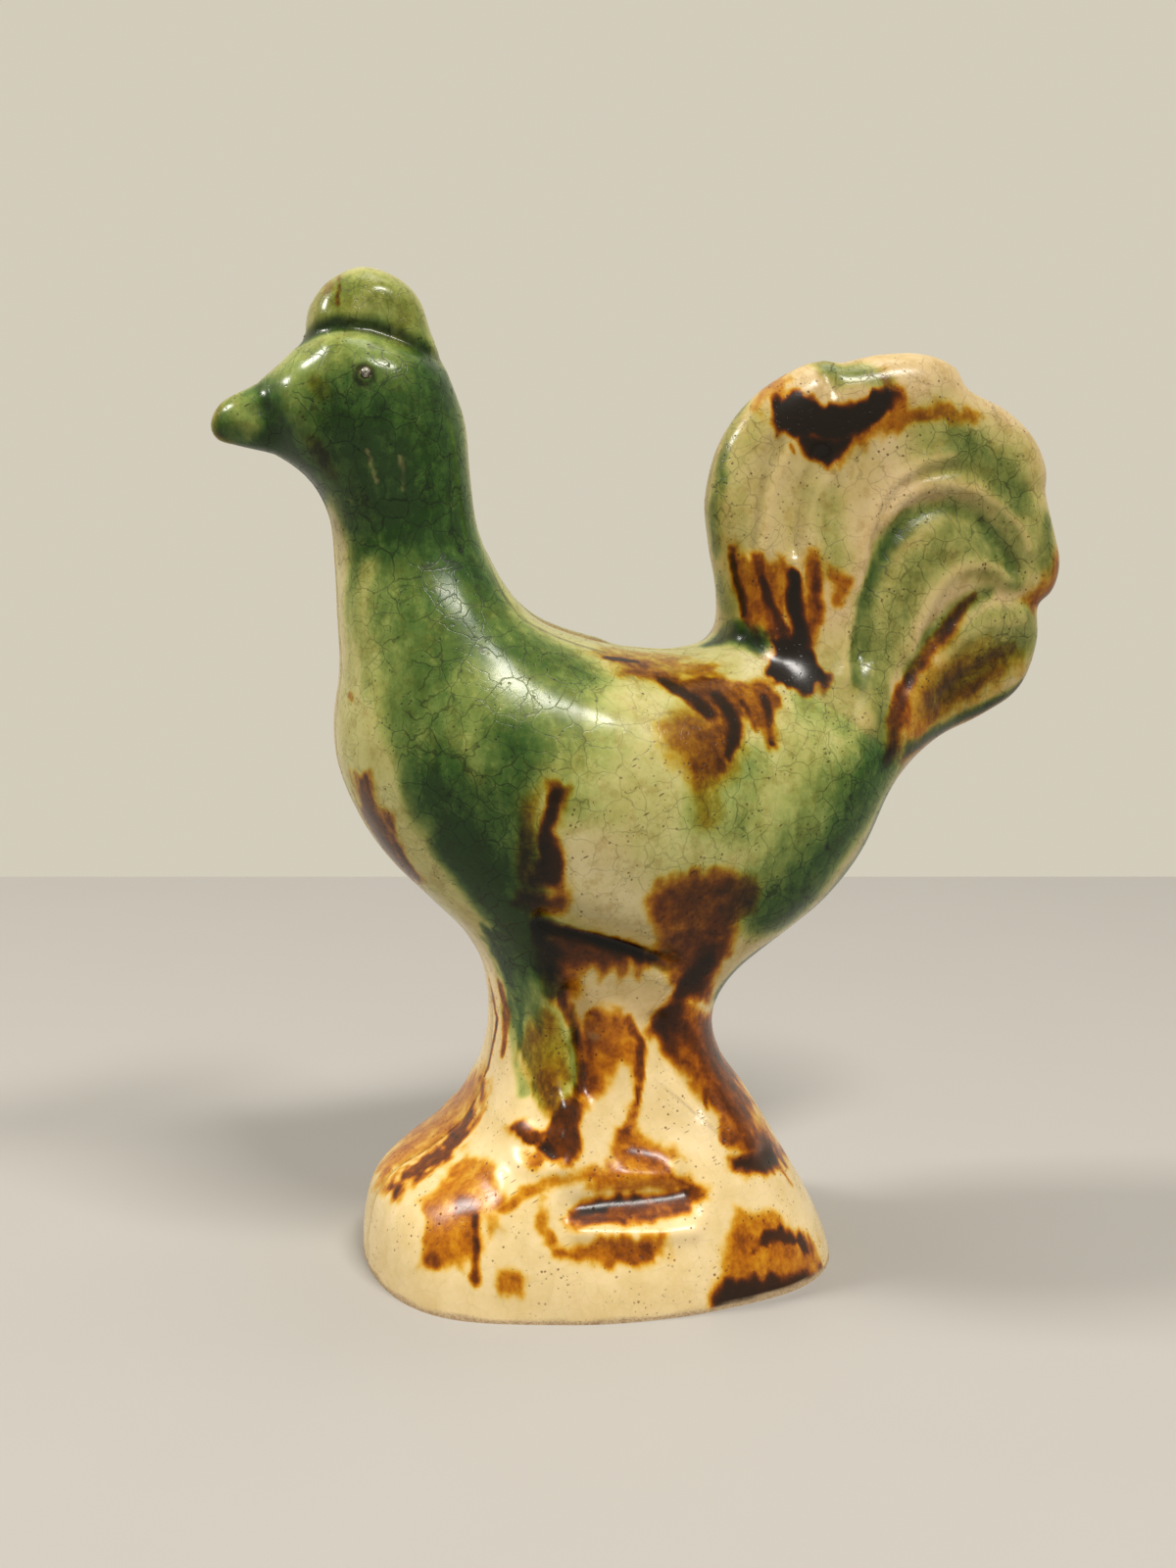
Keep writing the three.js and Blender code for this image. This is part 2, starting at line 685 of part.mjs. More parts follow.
// Eyes are pellets of clay, each set in a shallow dimple
const eyePlace = [-neckFront + 3, eyeHeight];
function eyeSolid(side, radius) {
  const geometry = new THREE.SphereGeometry(radius, 10, 6);
  const surface = Math.sqrt(formAt(...eyePlace));
  geometry.translate(eyePlace[0], side * surface, eyePlace[1]);
  return solidFromGeometry(geometry);
}

const bird = figureSkin
  .subtract(blockBelow(jointHeight + seamGap / 2))
  .subtract(rootBlock(-seamGap / 2))
  .subtract(blockAbove(combFoot - seamGap / 2))
  .subtract(hollow)
  .subtract(rollGrooves)
  .subtract(eyeSolid(-1, eyeRadius + seamGap))
  .subtract(eyeSolid(1, eyeRadius + seamGap));
const comb = figureSkin.intersect(blockAbove(combFoot + seamGap / 2)).subtract(rootBlock(-seamGap / 2));
const tail = tailSkin.intersect(rootBlock(seamGap / 2));
const base = figureSkin
  .intersect(blockBelow(jointHeight - seamGap / 2))
  .subtract(blockBelow(0))
  .subtract(hollow)
  .subtract(rollGrooves);

const glazes = {
  green: { color: 0x4c6b2c, roughness: 0.18, metalness: 0 },
  straw: { color: 0xa89f6b, roughness: 0.18, metalness: 0 },
  cream: { color: 0xd8c494, roughness: 0.2, metalness: 0 },
  olive: { color: 0x8a8a48, roughness: 0.18, metalness: 0 },
  manganese: { color: 0x3a261a, roughness: 0.15, metalness: 0 },
  bareClay: { color: 0xcdbb9a, roughness: 0.8, metalness: 0 },
};

const rooster = new THREE.Group();
rooster.name = 'creamware_rooster';
function place(name, solid, glaze) {
  const mesh = new THREE.Mesh(geometryFromSolid(solid), new THREE.MeshStandardMaterial(glazes[glaze]));
  mesh.name = name;
  rooster.add(mesh);
}

for (const [name, side] of [['left', -1], ['right', 1]]) {
  place(`bird_${name}_half`, bird.intersect(blockOnSide(side)), 'green');
  place(`tail_${name}_half`, tail.intersect(blockOnSide(side)), 'straw');
  place(`base_${name}_half`, base.intersect(blockOnSide(side)), 'cream');
  place(`${name}_eye`, eyeSolid(side, eyeRadius), 'manganese');
}
place('comb', comb, 'olive');
for (const [name, points] of Object.entries(seams)) {
  place(name, rollSolid(points, rollRadius, 0), 'bareClay');
}

// The row's origin is the middle of the box, on the table
const box = new THREE.Box3().setFromObject(rooster);
rooster.position.set(-(box.min.x + box.max.x) / 2, -(box.min.y + box.max.y) / 2, -box.min.z);

export default rooster;
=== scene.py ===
import math
from types import SimpleNamespace

import bmesh
import bpy
import numpy as np
from mathutils import Matrix, Vector


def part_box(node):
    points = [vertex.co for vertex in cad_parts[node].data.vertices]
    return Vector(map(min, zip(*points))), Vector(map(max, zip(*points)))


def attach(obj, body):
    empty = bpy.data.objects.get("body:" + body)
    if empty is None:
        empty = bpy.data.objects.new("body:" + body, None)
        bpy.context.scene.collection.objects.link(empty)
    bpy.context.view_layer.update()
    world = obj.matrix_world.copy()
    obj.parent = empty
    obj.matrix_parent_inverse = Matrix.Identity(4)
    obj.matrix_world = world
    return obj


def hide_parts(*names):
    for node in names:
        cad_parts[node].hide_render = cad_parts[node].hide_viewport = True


# Glazed creamware rooster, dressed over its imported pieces. Lengths are millimetres until a mesh is made.
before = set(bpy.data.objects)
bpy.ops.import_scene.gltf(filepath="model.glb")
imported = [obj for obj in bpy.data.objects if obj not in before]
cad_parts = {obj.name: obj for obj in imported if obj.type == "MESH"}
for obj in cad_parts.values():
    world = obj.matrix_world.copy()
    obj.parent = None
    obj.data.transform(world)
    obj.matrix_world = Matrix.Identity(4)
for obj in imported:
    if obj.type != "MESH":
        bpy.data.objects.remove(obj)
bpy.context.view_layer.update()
print("frame loaded:", len(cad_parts), "nodes")

mm = 0.001

# The figure's own sizes: heights above the table, reaches before (-X) and behind (+X) the waist, full widths
figure = SimpleNamespace(
    combTop=139.8, combFoot=130.6, eyeHeight=125.7, beakHeight=118.8, throatHeight=107, backHeight=87.8,
    breastHeight=77, rumpHeight=66.5, jointHeight=36.5, shoulderHeight=13.9, tailTop=129, tailTip=99,
    beakReach=55.5, neckFront=39.2, neckBack=20.7, breastReach=39.7, rumpReach=40.4, waistFront=18.2,
    waistBack=13.8, footFront=36.6, footBack=31.2, tailLead=13.5, tailReach=68,
    beakWidth=9, headWidth=22, neckWidth=20, bodyWidth=48, waistWidth=27, baseWidth=57, combWidth=9,
    tailWidth=11, birdWall=4, baseWall=5, sunk=12,
)
f = figure

# The camera that took the picture, fitted to the figure's outline. Pixels are in a 1200 by 1600 picture.
photo = dict(width=1200, height=1600, focal=2150, yaw=14.25, pitch=9.5, distance=300.3, target=(-3.8, 0, 68.6),
             reaches=(220, 380, 0.3), sensor=36, clip=(0.01, 20))

yaw, pitch = math.radians(photo["yaw"]), math.radians(photo["pitch"])
ahead = np.array([math.sin(yaw) * math.cos(pitch), math.cos(yaw) * math.cos(pitch), -math.sin(pitch)])
rightward = np.array([math.cos(yaw), -math.sin(yaw), 0])
upward = np.cross(rightward, ahead)
eyePoint = np.array(photo["target"]) - photo["distance"] * ahead
pixelsPerMm = photo["focal"] / photo["distance"]

# The row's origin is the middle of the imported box, so its left eye says how far the figure was moved
eyeSpot = (-f.neckFront + 3, f.eyeHeight)
eyeLow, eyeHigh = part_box("left_eye")
rowShift = (eyeLow.x + eyeHigh.x) / 2 / mm - eyeSpot[0]


def lerp(a, b, t):
    return a + (b - a) * t


def smooth(low, high, value):
    t = np.clip((value - low) / (high - low), 0, 1)
    return t * t * (3 - 2 * t)


def fan(across, up):
    return lerp(f.tailLead, f.tailReach, across), lerp(f.tailTip, f.tailTop, up)


def lowerFan(across, down):
    return lerp(f.tailLead, f.tailReach, across), lerp(f.tailTip, f.rumpHeight, down)


# Outline in the parting plane, up over the head from the beak, then round the tail, foot and breast
headOutline = [
    (-f.beakReach, f.beakHeight), (1.3 - f.beakReach, f.beakHeight + 2.9),
    (6 - f.beakReach, f.beakHeight + 5.7), (9.9 - f.beakReach, f.beakHeight + 8.8),
]
combOutline = [
    (-f.neckFront - 3.7, f.combFoot + 0.3), (-f.neckFront - 2.8, f.combFoot + 3.9),
    (-f.neckFront - 0.2, f.combTop - 1.9), (-f.neckFront + 4.2, f.combTop),
    (-f.neckFront + 9, f.combTop - 1.4), (-f.neckBack - 6.7, f.combTop - 4.1),
    (-f.neckBack - 5.1, f.combFoot + 0.6),
]
napeOutline = [
    (-f.neckBack - 2.8, f.combFoot - 5.2), (-f.neckBack - 0.7, f.beakHeight + 0.7),
    (-f.neckBack, f.throatHeight + 5), (-f.neckBack + 1, f.throatHeight - 2),
    (-f.neckBack + 3.8, f.backHeight + 10.9), (-f.neckBack + 8.7, f.backHeight + 5),
    (-f.neckBack + 15.5, f.backHeight + 2), (f.tailLead - 9.2, f.backHeight), (f.tailLead - 2.2, f.backHeight),
]
tailOutline = [
    (f.tailLead + 1.6, f.backHeight + 1.8), fan(0.035, -0.13), fan(0.01, 0.12), fan(0, 0.33), fan(0.04, 0.6),
    fan(0.14, 0.82), fan(0.3, 0.97), fan(0.36, 0.96), fan(0.47, 1), fan(0.6, 1), fan(0.68, 0.94),
    fan(0.71, 0.85), fan(0.83, 0.74), fan(0.91, 0.61), fan(0.95, 0.45), fan(0.95, 0.34), fan(0.98, 0.15),
    fan(1, 0), lowerFan(0.98, 0.13), lowerFan(0.94, 0.2), lowerFan(0.94, 0.35), lowerFan(0.89, 0.57),
    lowerFan(0.78, 0.69), lowerFan(0.65, 0.78), lowerFan(0.56, 0.88),
]
rumpOutline = [
    (f.rumpReach, f.rumpHeight), (f.rumpReach - 3.9, f.rumpHeight - 8.5), (f.rumpReach - 10, f.rumpHeight - 15.7),
    (f.waistBack + 8.8, f.jointHeight + 8.8), (f.waistBack + 2.3, f.jointHeight + 4),
    (f.waistBack, f.jointHeight - 1),
]
baseOutline = [
    (f.waistBack + 1, f.jointHeight - 6.5), (f.waistBack + 5.3, f.shoulderHeight + 9.6),
    (f.footBack - 7.4, f.shoulderHeight + 1.6), (f.footBack - 2.6, f.shoulderHeight - 6.9), (f.footBack, 0),
    (f.footBack, -f.sunk / 2), (f.footBack - 6, -f.sunk), (6 - f.footFront, -f.sunk),
    (-f.footFront, -f.sunk / 2), (-f.footFront, 0), (0.2 - f.footFront, f.shoulderHeight - 8.9),
    (1.6 - f.footFront, f.shoulderHeight - 3.1), (4.2 - f.footFront, f.shoulderHeight),
    (8.8 - f.footFront, f.shoulderHeight + 2.7), (-f.waistFront - 4.1, f.shoulderHeight + 6.9),
    (-f.waistFront - 1.4, f.shoulderHeight + 12.1), (-f.waistFront - 0.1, f.jointHeight - 4.5),
]
breastOutline = [
    (-f.waistFront, f.jointHeight + 1.5), (-f.waistFront - 0.8, f.jointHeight + 6.5),
    (-f.waistFront - 3.7, f.jointHeight + 11.7), (12.5 - f.breastReach, f.breastHeight - 23.2),
    (6.5 - f.breastReach, f.breastHeight - 16.8), (2.5 - f.breastReach, f.breastHeight - 10),
    (0.4 - f.breastReach, f.breastHeight - 4), (-f.breastReach, f.breastHeight + 2),
    (0.9 - f.breastReach, f.breastHeight + 8.5), (0.2 - f.neckFront, f.throatHeight - 14),
    (-f.neckFront - 0.1, f.throatHeight - 6), (-f.neckFront - 0.7, f.throatHeight - 0.2),
    (-f.neckFront - 3.1, f.throatHeight + 4.5), (9 - f.beakReach, f.beakHeight - 4.1),
    (4 - f.beakReach, f.beakHeight - 2.7), (0.9 - f.beakReach, f.beakHeight - 1.8),
]
figureOutline = headOutline + combOutline + napeOutline + tailOutline + rumpOutline + baseOutline + breastOutline

# Gauge points: place in the parting plane, half width there, and how far in from the outline it rolls over
gauges = [
    ((3 - f.beakReach, f.beakHeight), f.beakWidth * 0.4, 3),
    ((9 - f.beakReach, f.beakHeight + 1), f.beakWidth * 0.75, 4),
    ((-f.neckFront + 7, f.eyeHeight - 2), f.headWidth / 2, 7),
    ((-f.neckFront + 9, f.throatHeight + 6), f.headWidth * 0.48, 8),
    ((-f.neckFront + 9, f.combTop - 3.5), f.combWidth / 2, 2.5),
    ((-f.neckFront + 8, f.combFoot + 2), f.combWidth * 0.6, 3),
    ((-f.neckFront + 9, f.throatHeight - 4), f.neckWidth / 2, 8),
    ((-f.neckFront + 12, f.backHeight + 4), f.neckWidth * 0.75, 9),
    ((15 - f.breastReach, f.breastHeight - 4), f.bodyWidth * 0.44, 12),
    ((0, f.breastHeight - 10), f.bodyWidth / 2, 12),
    ((f.rumpReach - 16, f.rumpHeight + 2), f.bodyWidth * 0.38, 11),
    ((-1, f.jointHeight + 13), f.bodyWidth * 0.4, 9),
    ((f.tailLead + 13, f.backHeight + 1), f.tailWidth * 0.85, 5),
    (fan(0.26, 0.47), f.tailWidth / 2, 3.5),
    (fan(0.7, 0.27), f.tailWidth / 2, 3.5),
    (fan(0.7, -0.4), f.tailWidth / 2, 3.5),
    ((-1, f.jointHeight), f.waistWidth / 2, 5),
    ((-1, f.jointHeight - 12), f.waistWidth * 0.62, 5),
]
for stationX, taper in ((-0.6 * f.footFront, 0.87), ((f.footBack - f.footFront) / 2, 1), (0.55 * f.footBack, 0.87)):
    gauges.append(((stationX, f.shoulderHeight), f.baseWidth * 0.42 * taper, 6))
    gauges.append(((stationX, 3), f.baseWidth / 2 * taper, 8))
    gauges.append(((stationX, -f.sunk / 2), f.baseWidth / 2 * taper, 8))


def splineLoop(points, perStretch):
    # centripetal curve through the points and back to the first
    p = np.array(points, float)
    share = (np.arange(perStretch) / perStretch)[:, None]
    stretches = []
    for i in range(len(p)):
        p0, p1, p2, p3 = p[i - 1], p[i], p[(i + 1) % len(p)], p[(i + 2) % len(p)]
        d0, d1, d2 = (np.linalg.norm(b - a) ** 0.5 for a, b in ((p0, p1), (p1, p2), (p2, p3)))
        leave = ((p1 - p0) / d0 - (p2 - p0) / (d0 + d1) + (p2 - p1) / d1) * d1
        arrive = ((p2 - p1) / d1 - (p3 - p1) / (d1 + d2) + (p3 - p2) / d2) * d1
        bend = -3 * p1 + 3 * p2 - 2 * leave - arrive
        twist = 2 * p1 - 2 * p2 + leave + arrive
        stretches.append(p1 + leave * share + bend * share**2 + twist * share**3)
    return np.concatenate(stretches)


def distanceToLine(x, z, line):
    best = np.full(x.shape, np.inf)
    for (ax, az), (bx, bz) in zip(line[:-1], line[1:]):
        dx, dz = bx - ax, bz - az
        t = np.clip(((x - ax) * dx + (z - az) * dz) / max(1e-9, dx * dx + dz * dz), 0, 1)
        np.minimum(best, (x - ax - t * dx) ** 2 + (z - az - t * dz) ** 2, out=best)
    return np.sqrt(best)


def isInside(x, z, loop):
    inside = np.zeros(x.shape, bool)
    for (ax, az), (bx, bz) in zip(loop, np.roll(loop, -1, 0)):
        if az != bz:
            inside ^= ((az > z) != (bz > z)) & (x < ax + (z - az) / (bz - az) * (bx - ax))
    return inside


noiseTable = np.random.default_rng(7).random((32, 32, 32))


def clayNoise(points, scale):
    # smooth noise from -1 to 1 at places given in mm
    p = np.asarray(points, float) / scale
    low = np.floor(p).astype(int)
    t = p - low
    t = t * t * (3 - 2 * t)
    total = np.zeros(p.shape[:-1])
    for corner in np.ndindex(2, 2, 2):
        share = np.prod([t[..., n] if corner[n] else 1 - t[..., n] for n in range(3)], axis=0)
        i, j, k = ((low[..., n] + corner[n]) % 32 for n in range(3))
        total += share * noiseTable[i, j, k]
    return 2 * total - 1


# The form: squared half width over the parting plane, as a membrane under pressure stretched over the outline
formCell, formMargin = 0.5, 4
# how fast and how long the membrane settles, how wide a gauge is felt, and how far the form runs on past the outline
membrane = dict(overshoot=1.9, tunings=7, sweeps=110, gaugeBlur=9, steepest=8, runOn=16, leastDistance=0.02)
outline = splineLoop(figureOutline, 8)
closedOutline = np.vstack([outline, outline[:1]])
gridLow = outline.min(0) - formMargin
gridColumns, gridRows = np.ceil((outline.max(0) + formMargin - gridLow) / formCell).astype(int) + 1
gridX, gridZ = np.meshgrid(gridLow[0] + np.arange(gridColumns) * formCell,
                           gridLow[1] + np.arange(gridRows) * formCell)


def solveForm():
    neighbours = ((0, 1), (0, -1), (1, 1), (1, -1))
    spots, halves, rolls = zip(*gauges)
    halves = np.array(halves)
    distance = np.maximum(membrane["leastDistance"], distanceToLine(gridX, gridZ, closedOutline))
    inner = isInside(gridX, gridZ, outline)
    weights = np.array([((gridX - x) ** 2 + (gridZ - z) ** 2 + membrane["gaugeBlur"]) ** -2.0 for x, z in spots])
    shares = weights / weights.sum(0)
    pull = (formCell / np.tensordot(rolls, shares, 1)) ** 2
    total = 4 + pull
    for axis, step in neighbours:
        beyond = ~np.roll(inner, step, axis)
        total = total + beyond * np.minimum(membrane["steepest"], np.roll(distance, step, axis) / distance)
    checks = (np.indices(inner.shape).sum(0) % 2).astype(bool)
    colours = [(inner & checks).astype(float), (inner & ~checks).astype(float)]
    pressures = halves**2
    places = [(round((z - gridLow[1]) / formCell), round((x - gridLow[0]) / formCell)) for x, z in spots]
    form = np.zeros(inner.shape)
    for tuning in range(membrane["tunings"]):
        push = pull * np.tensordot(pressures, shares, 1)
        for sweep in range(membrane["sweeps"]):
            for colour in colours:
                around = push.copy()
                around[1:-1, 1:-1] += form[:-2, 1:-1] + form[2:, 1:-1] + form[1:-1, :-2] + form[1:-1, 2:]
                form += membrane["overshoot"] * (around / total - form) * colour
        measured = np.array([max(1, form[place]) for place in places])
        if tuning < membrane["tunings"] - 1:
            pressures = pressures * np.clip(halves**2 / measured, 0.7, 1.4)
    # beyond the outline the form runs on down at the slope it has there
    slope = np.where(inner & (distance > formCell / 2), form / distance, 0)
    known = slope > 0
    for ring in range(membrane["runOn"]):
        count, total = np.zeros(form.shape), np.zeros(form.shape)
        for axis, step in neighbours:
            count += np.roll(known, step, axis)
            total += np.roll(slope * known, step, axis)
        fresh = ~known & (count > 0)
        slope[fresh] = total[fresh] / count[fresh]
        known |= fresh
    slope[~known] = slope.max() / 4
    return np.where(inner & (form > 0), form, -slope * distance), slope


plainForm, edgeSlope = solveForm()
print("form solved:", plainForm.shape, "cells")


def sampleGrid(layer, x, z):
    column = np.clip((x - gridLow[0]) / formCell, 0, gridColumns - 1.001)
    row = np.clip((z - gridLow[1]) / formCell, 0, gridRows - 1.001)
    i, k = column.astype(int), row.astype(int)
    s, t = column - i, row - k
    low = layer[k, i] * (1 - s) + layer[k, i + 1] * s
    high = layer[k + 1, i] * (1 - s) + layer[k + 1, i + 1] * s
    return low * (1 - t) + high * t


def onSkin(pixels, form=plainForm):
    # where the picture's pixels fall on the figure
    p = np.array(pixels, float).reshape(-1, 2)
    across = (p[:, :1] - photo["width"] / 2) / photo["focal"]
    down = (p[:, 1:] - photo["height"] / 2) / photo["focal"]
    rays = ahead + across * rightward - down * upward
    reach = np.arange(*photo["reaches"])
    places = eyePoint + rays[:, None, :] * reach[None, :, None]
    depth = sampleGrid(form, places[..., 0], places[..., 2]) - places[..., 1] ** 2
    hit = depth > 0
    first = np.where(hit.any(1), hit.argmax(1), depth.argmax(1))
    return places[np.arange(len(p)), first]


def inPlane(pixels):
    return onSkin(pixels)[:, [0, 2]]


# Two lines of the picture that both relief and paint follow
combGroove = [(306, 350), (325, 338), (346, 333), (381, 337), (408, 347), (431, 358), (449, 368)]
innerRib = [(930, 668), (940, 638), (950, 611), (965, 590), (983, 579), (1002, 576), (1020, 581), (1033, 593)]
# Relief pressed into both halves: how high in mm, half width in mm, and its line in the picture
reliefs = [
    # comb: the groove round its foot, and a pinch in its side
    (-1.5, 1.25, combGroove),
    (-0.3, 1.0, [(348, 280), (345, 312)]),
    (0.25, 1.6, [(384, 296), (404, 304), (418, 322)]),
    # the pinch where the beak leaves the face, the gape, and the brow
    (-1.0, 2.0, [(264, 388), (270, 408), (280, 436), (288, 456)]),
    (0.7, 2.0, [(292, 388), (300, 415), (312, 448)]),
    (-0.35, 0.8, [(252, 420), (272, 416)]),
    (0.3, 2.2, [(345, 368), (372, 368), (400, 378)]),
    # tail: outer rib, its twin, and the deep groove inside them
    (0.7, 1.3, [(862, 690), (870, 640), (876, 596), (881, 553), (892, 519), (913, 491), (943, 471), (972, 463)]),
    (0.6, 1.3, [(900, 534), (919, 510), (943, 497), (968, 493), (998, 501), (1023, 516), (1041, 537), (1051, 560)]),
    (-0.35, 0.8, [(891, 560), (900, 522), (920, 497), (945, 484), (975, 480)]),
    (-0.45, 2.2, [(864, 740), (873, 704), (877, 660)]),
    (-0.9, 1.7, [(877, 668), (877, 645), (882, 608), (894, 577), (908, 548), (925, 529), (946, 518), (968, 516),
        (990, 523), (1008, 541), (1022, 563), (1031, 580)]),
    (0.45, 2.6, [(905, 640), (925, 590), (955, 555), (990, 560)]),
    (0.7, 1.3, innerRib),
    (-0.7, 1.7, [(898, 752), (912, 716), (925, 684), (940, 657), (959, 636), (980, 620), (1002, 609), (1020, 607)]),
    (0.6, 1.8, [(935, 712), (957, 678), (981, 652), (1011, 637), (1043, 631)]),
    (-0.4, 1.2, [(960, 716), (985, 690), (1015, 672), (1043, 662)]),
    # tail: straight barbs behind the leading edge
    (-0.8, 1.1, [(768, 560), (773, 510), (780, 480), (794, 453)]),
    (0.4, 1.2, [(780, 560), (785, 520), (793, 490), (806, 460)]),
    (-0.8, 1.1, [(811, 560), (814, 520), (821, 495), (838, 468)]),
    (0.4, 1.2, [(824, 560), (828, 530), (835, 500), (851, 478)]),
    (-0.35, 1.2, [(838, 600), (845, 545), (858, 500), (880, 465)]),
    (-0.6, 1.2, [(836, 366), (843, 384), (850, 398)]),
    (-0.35, 1.4, [(972, 402), (957, 415)]),
    (-0.4, 1.4, [(1064, 500), (1046, 502)]),
    (-0.5, 1.5, [(1062, 618), (1046, 612)]),
    # root of the tail: a soft hollow where it meets the back
    (-0.5, 2.4, [(742, 668), (775, 668), (800, 672)]),
    # belly: the crease under the wing and the fullness above it
    (-1.4, 1.3, [(556, 938), (572, 945), (600, 953), (630, 962), (660, 973), (682, 985)]),
    (0.6, 2.6, [(585, 918), (630, 935), (680, 950)]),
    # near leg, foot and toes
    (1.9, 2.6, [(552, 1010), (556, 1045), (560, 1080), (566, 1122)]),
    (-0.6, 1.4, [(520, 1030), (526, 1070), (540, 1115)]),
    (-1.1, 1.6, [(578, 1012), (594, 1045), (599, 1080), (595, 1112)]),
    (1.1, 2.0, [(576, 1130), (574, 1160), (578, 1184)]),
    (0.7, 1.3, [(568, 1158), (546, 1155), (524, 1150)]),
    (0.55, 1.2, [(566, 1187), (546, 1188), (530, 1187)]),
    (-0.4, 1.2, [(535, 1171), (558, 1173)]),
    (0.8, 2.6, [(622, 1040), (634, 1075)]),
    (-0.4, 1.4, [(660, 1045), (664, 1090)]),
    # rear leg, ending in a pool
    (1.3, 2.5, [(700, 1030), (707, 1072), (733, 1115), (764, 1165)]),
    (-0.5, 1.2, [(672, 1040), (683, 1085), (715, 1130)]),
    (-0.9, 1.2, [(752, 1189), (778, 1182), (800, 1180)]),
    # mound: the long hollow with a ridge under it, the stone above it and the pool to the left
    (-1.3, 1.9, [(590, 1234), (618, 1228), (658, 1225), (700, 1220)]),
    (0.95, 1.35, [(590, 1254), (630, 1257), (675, 1257), (708, 1253)]),
    (-0.5, 1.7, [(642, 1174), (672, 1180), (694, 1200)]),
    (0.5, 1.3, [(640, 1196), (684, 1200)]),
    (0.5, 2.2, [(456, 1216), (470, 1220), (484, 1228)]),
    (0.6, 1.2, [(488, 1182), (507, 1195), (514, 1217), (505, 1244)]),
    (0.6, 3.2, [(775, 1290), (800, 1292)]),
]
relief = np.zeros(plainForm.shape)
for rise, half, line in reliefs:
    relief += rise * np.exp(-(distanceToLine(gridX, gridZ, inPlane(line)) / half) ** 2)

# Each half is its own pressing: slightly uneven clay, and the far one stands proud along the back
handWork = dict(wave=0.16, waveSpan=11, ripple=0.07, rippleSpan=4.5, proud=0.5)
proudSeam = inPlane([(500, 575), (512, 604), (530, 628), (556, 642), (586, 654), (616, 663)])
skins = {}
for side in (-1, 1):
    flat = np.stack([gridX, np.full(gridX.shape, 40.0 * side), gridZ], -1)
    wave = handWork["wave"] * clayNoise(flat, handWork["waveSpan"])
    ripple = handWork["ripple"] * clayNoise(flat + 91, handWork["rippleSpan"])
    form = plainForm
    if side > 0:
        form = form + handWork["proud"] * edgeSlope * (1 - smooth(1, 4, distanceToLine(gridX, gridZ, proudSeam)))
    form = form + 2 * (relief + wave + ripple) * np.sqrt(np.maximum(form, 0))
    dz, dx = np.gradient(form, formCell)
    skins[side] = (form, dx, dz)


def skinAt(side, points):
    # value and slope of the form at places in mm; the skin is where the value is nothing
    x, y, z = points.T
    form, dx, dz = (sampleGrid(layer, x, z) for layer in skins[side])
    return form - y * y, np.stack([dx, -2 * y, dz], -1)


def settleOn(side, points, cell):
    start = points.copy()
    for turn in range(5):
        value, slope = skinAt(side, points)
        points = points - slope * (value / np.maximum(0.5, (slope**2).sum(1)))[:, None]
    move = points - start
    reach = np.linalg.norm(move, axis=1, keepdims=True)
    return start + move * np.minimum(1, cell / 2 / np.maximum(reach, 1e-9))


def joinDiagonals(values):
    # where two opposite corners of a cell's face are inside, one of the others joins them
    for turn in range(6):
        joined = 0
        for axis, other in ((0, 1), (1, 2), (2, 0)):
            def part(i, j):
                pick = [slice(None)] * 3
                pick[axis] = slice(1, None) if i else slice(None, -1)
                pick[other] = slice(1, None) if j else slice(None, -1)
                return tuple(pick)
            a, b, c, d = (values[part(i, j)] > 0 for i, j in ((0, 0), (1, 0), (1, 1), (0, 1)))
            for first, cross in ((a & c & ~b & ~d, part(1, 0)), (b & d & ~a & ~c, part(0, 0))):
                joined += int(first.sum())
                values[cross] = np.where(first, 1e-3, values[cross])
        if not joined:
            return


def netSurface(values, xs, ys, zs):
    # one vertex in each grid cell that the surface passes through, and quads between them
    lines = (xs, ys, zs)
    inside = values > 0
    size = values.shape
    corners = [inside[i:size[0] - 1 + i, j:size[1] - 1 + j, k:size[2] - 1 + k] for i, j, k in np.ndindex(2, 2, 2)]
    active = np.logical_or.reduce(corners) & ~np.logical_and.reduce(corners)
    cells = np.argwhere(active)
    number = np.full(active.shape, -1)
    number[active] = np.arange(len(cells))
    total = np.zeros((len(cells), 3))
    count = np.zeros(len(cells))
    for axis in range(3):
        others = [n for n in range(3) if n != axis]
        for p, q in np.ndindex(2, 2):
            at = cells.copy()
            at[:, others[0]] += p
            at[:, others[1]] += q
            to = at.copy()
            to[:, axis] += 1
            va, vb = values[tuple(at.T)], values[tuple(to.T)]
            crossed = (va > 0) != (vb > 0)
            share = np.where(crossed, va / np.where(crossed, va - vb, 1), 0)
            place = np.stack([lines[n][at[:, n]] for n in range(3)], -1).astype(float)
            place[:, axis] += share * (lines[axis][to[:, axis]] - lines[axis][at[:, axis]])
            total += place * crossed[:, None]
            count += crossed
    points = total / np.maximum(count, 1)[:, None]
    quads = []
    for axis in range(3):
        u, v = (axis + 1) % 3, (axis + 2) % 3
        low, high = [slice(None)] * 3, [slice(None)] * 3
        low[axis], high[axis] = slice(None, -1), slice(1, None)
        for n in (u, v):
            low[n] = high[n] = slice(1, -1)
        here, there = inside[tuple(low)], inside[tuple(high)]
        at = np.argwhere(here != there)
        at[:, u] += 1
        at[:, v] += 1
        ring = []
        for p, q in ((0, 0), (1, 0), (1, 1), (0, 1)):
            cell = at.copy()
            cell[:, u] -= p
            cell[:, v] -= q
            ring.append(number[tuple(cell.T)])
        ring = np.stack(ring, -1)
        outward = here[here != there]
        ring[~outward] = ring[~outward][:, ::-1]
        quads.append(ring)
    return points, np.concatenate(quads)


def placed(name, data):
    thing = bpy.data.objects.new(name, data)
    bpy.context.scene.collection.objects.link(thing)
    return thing


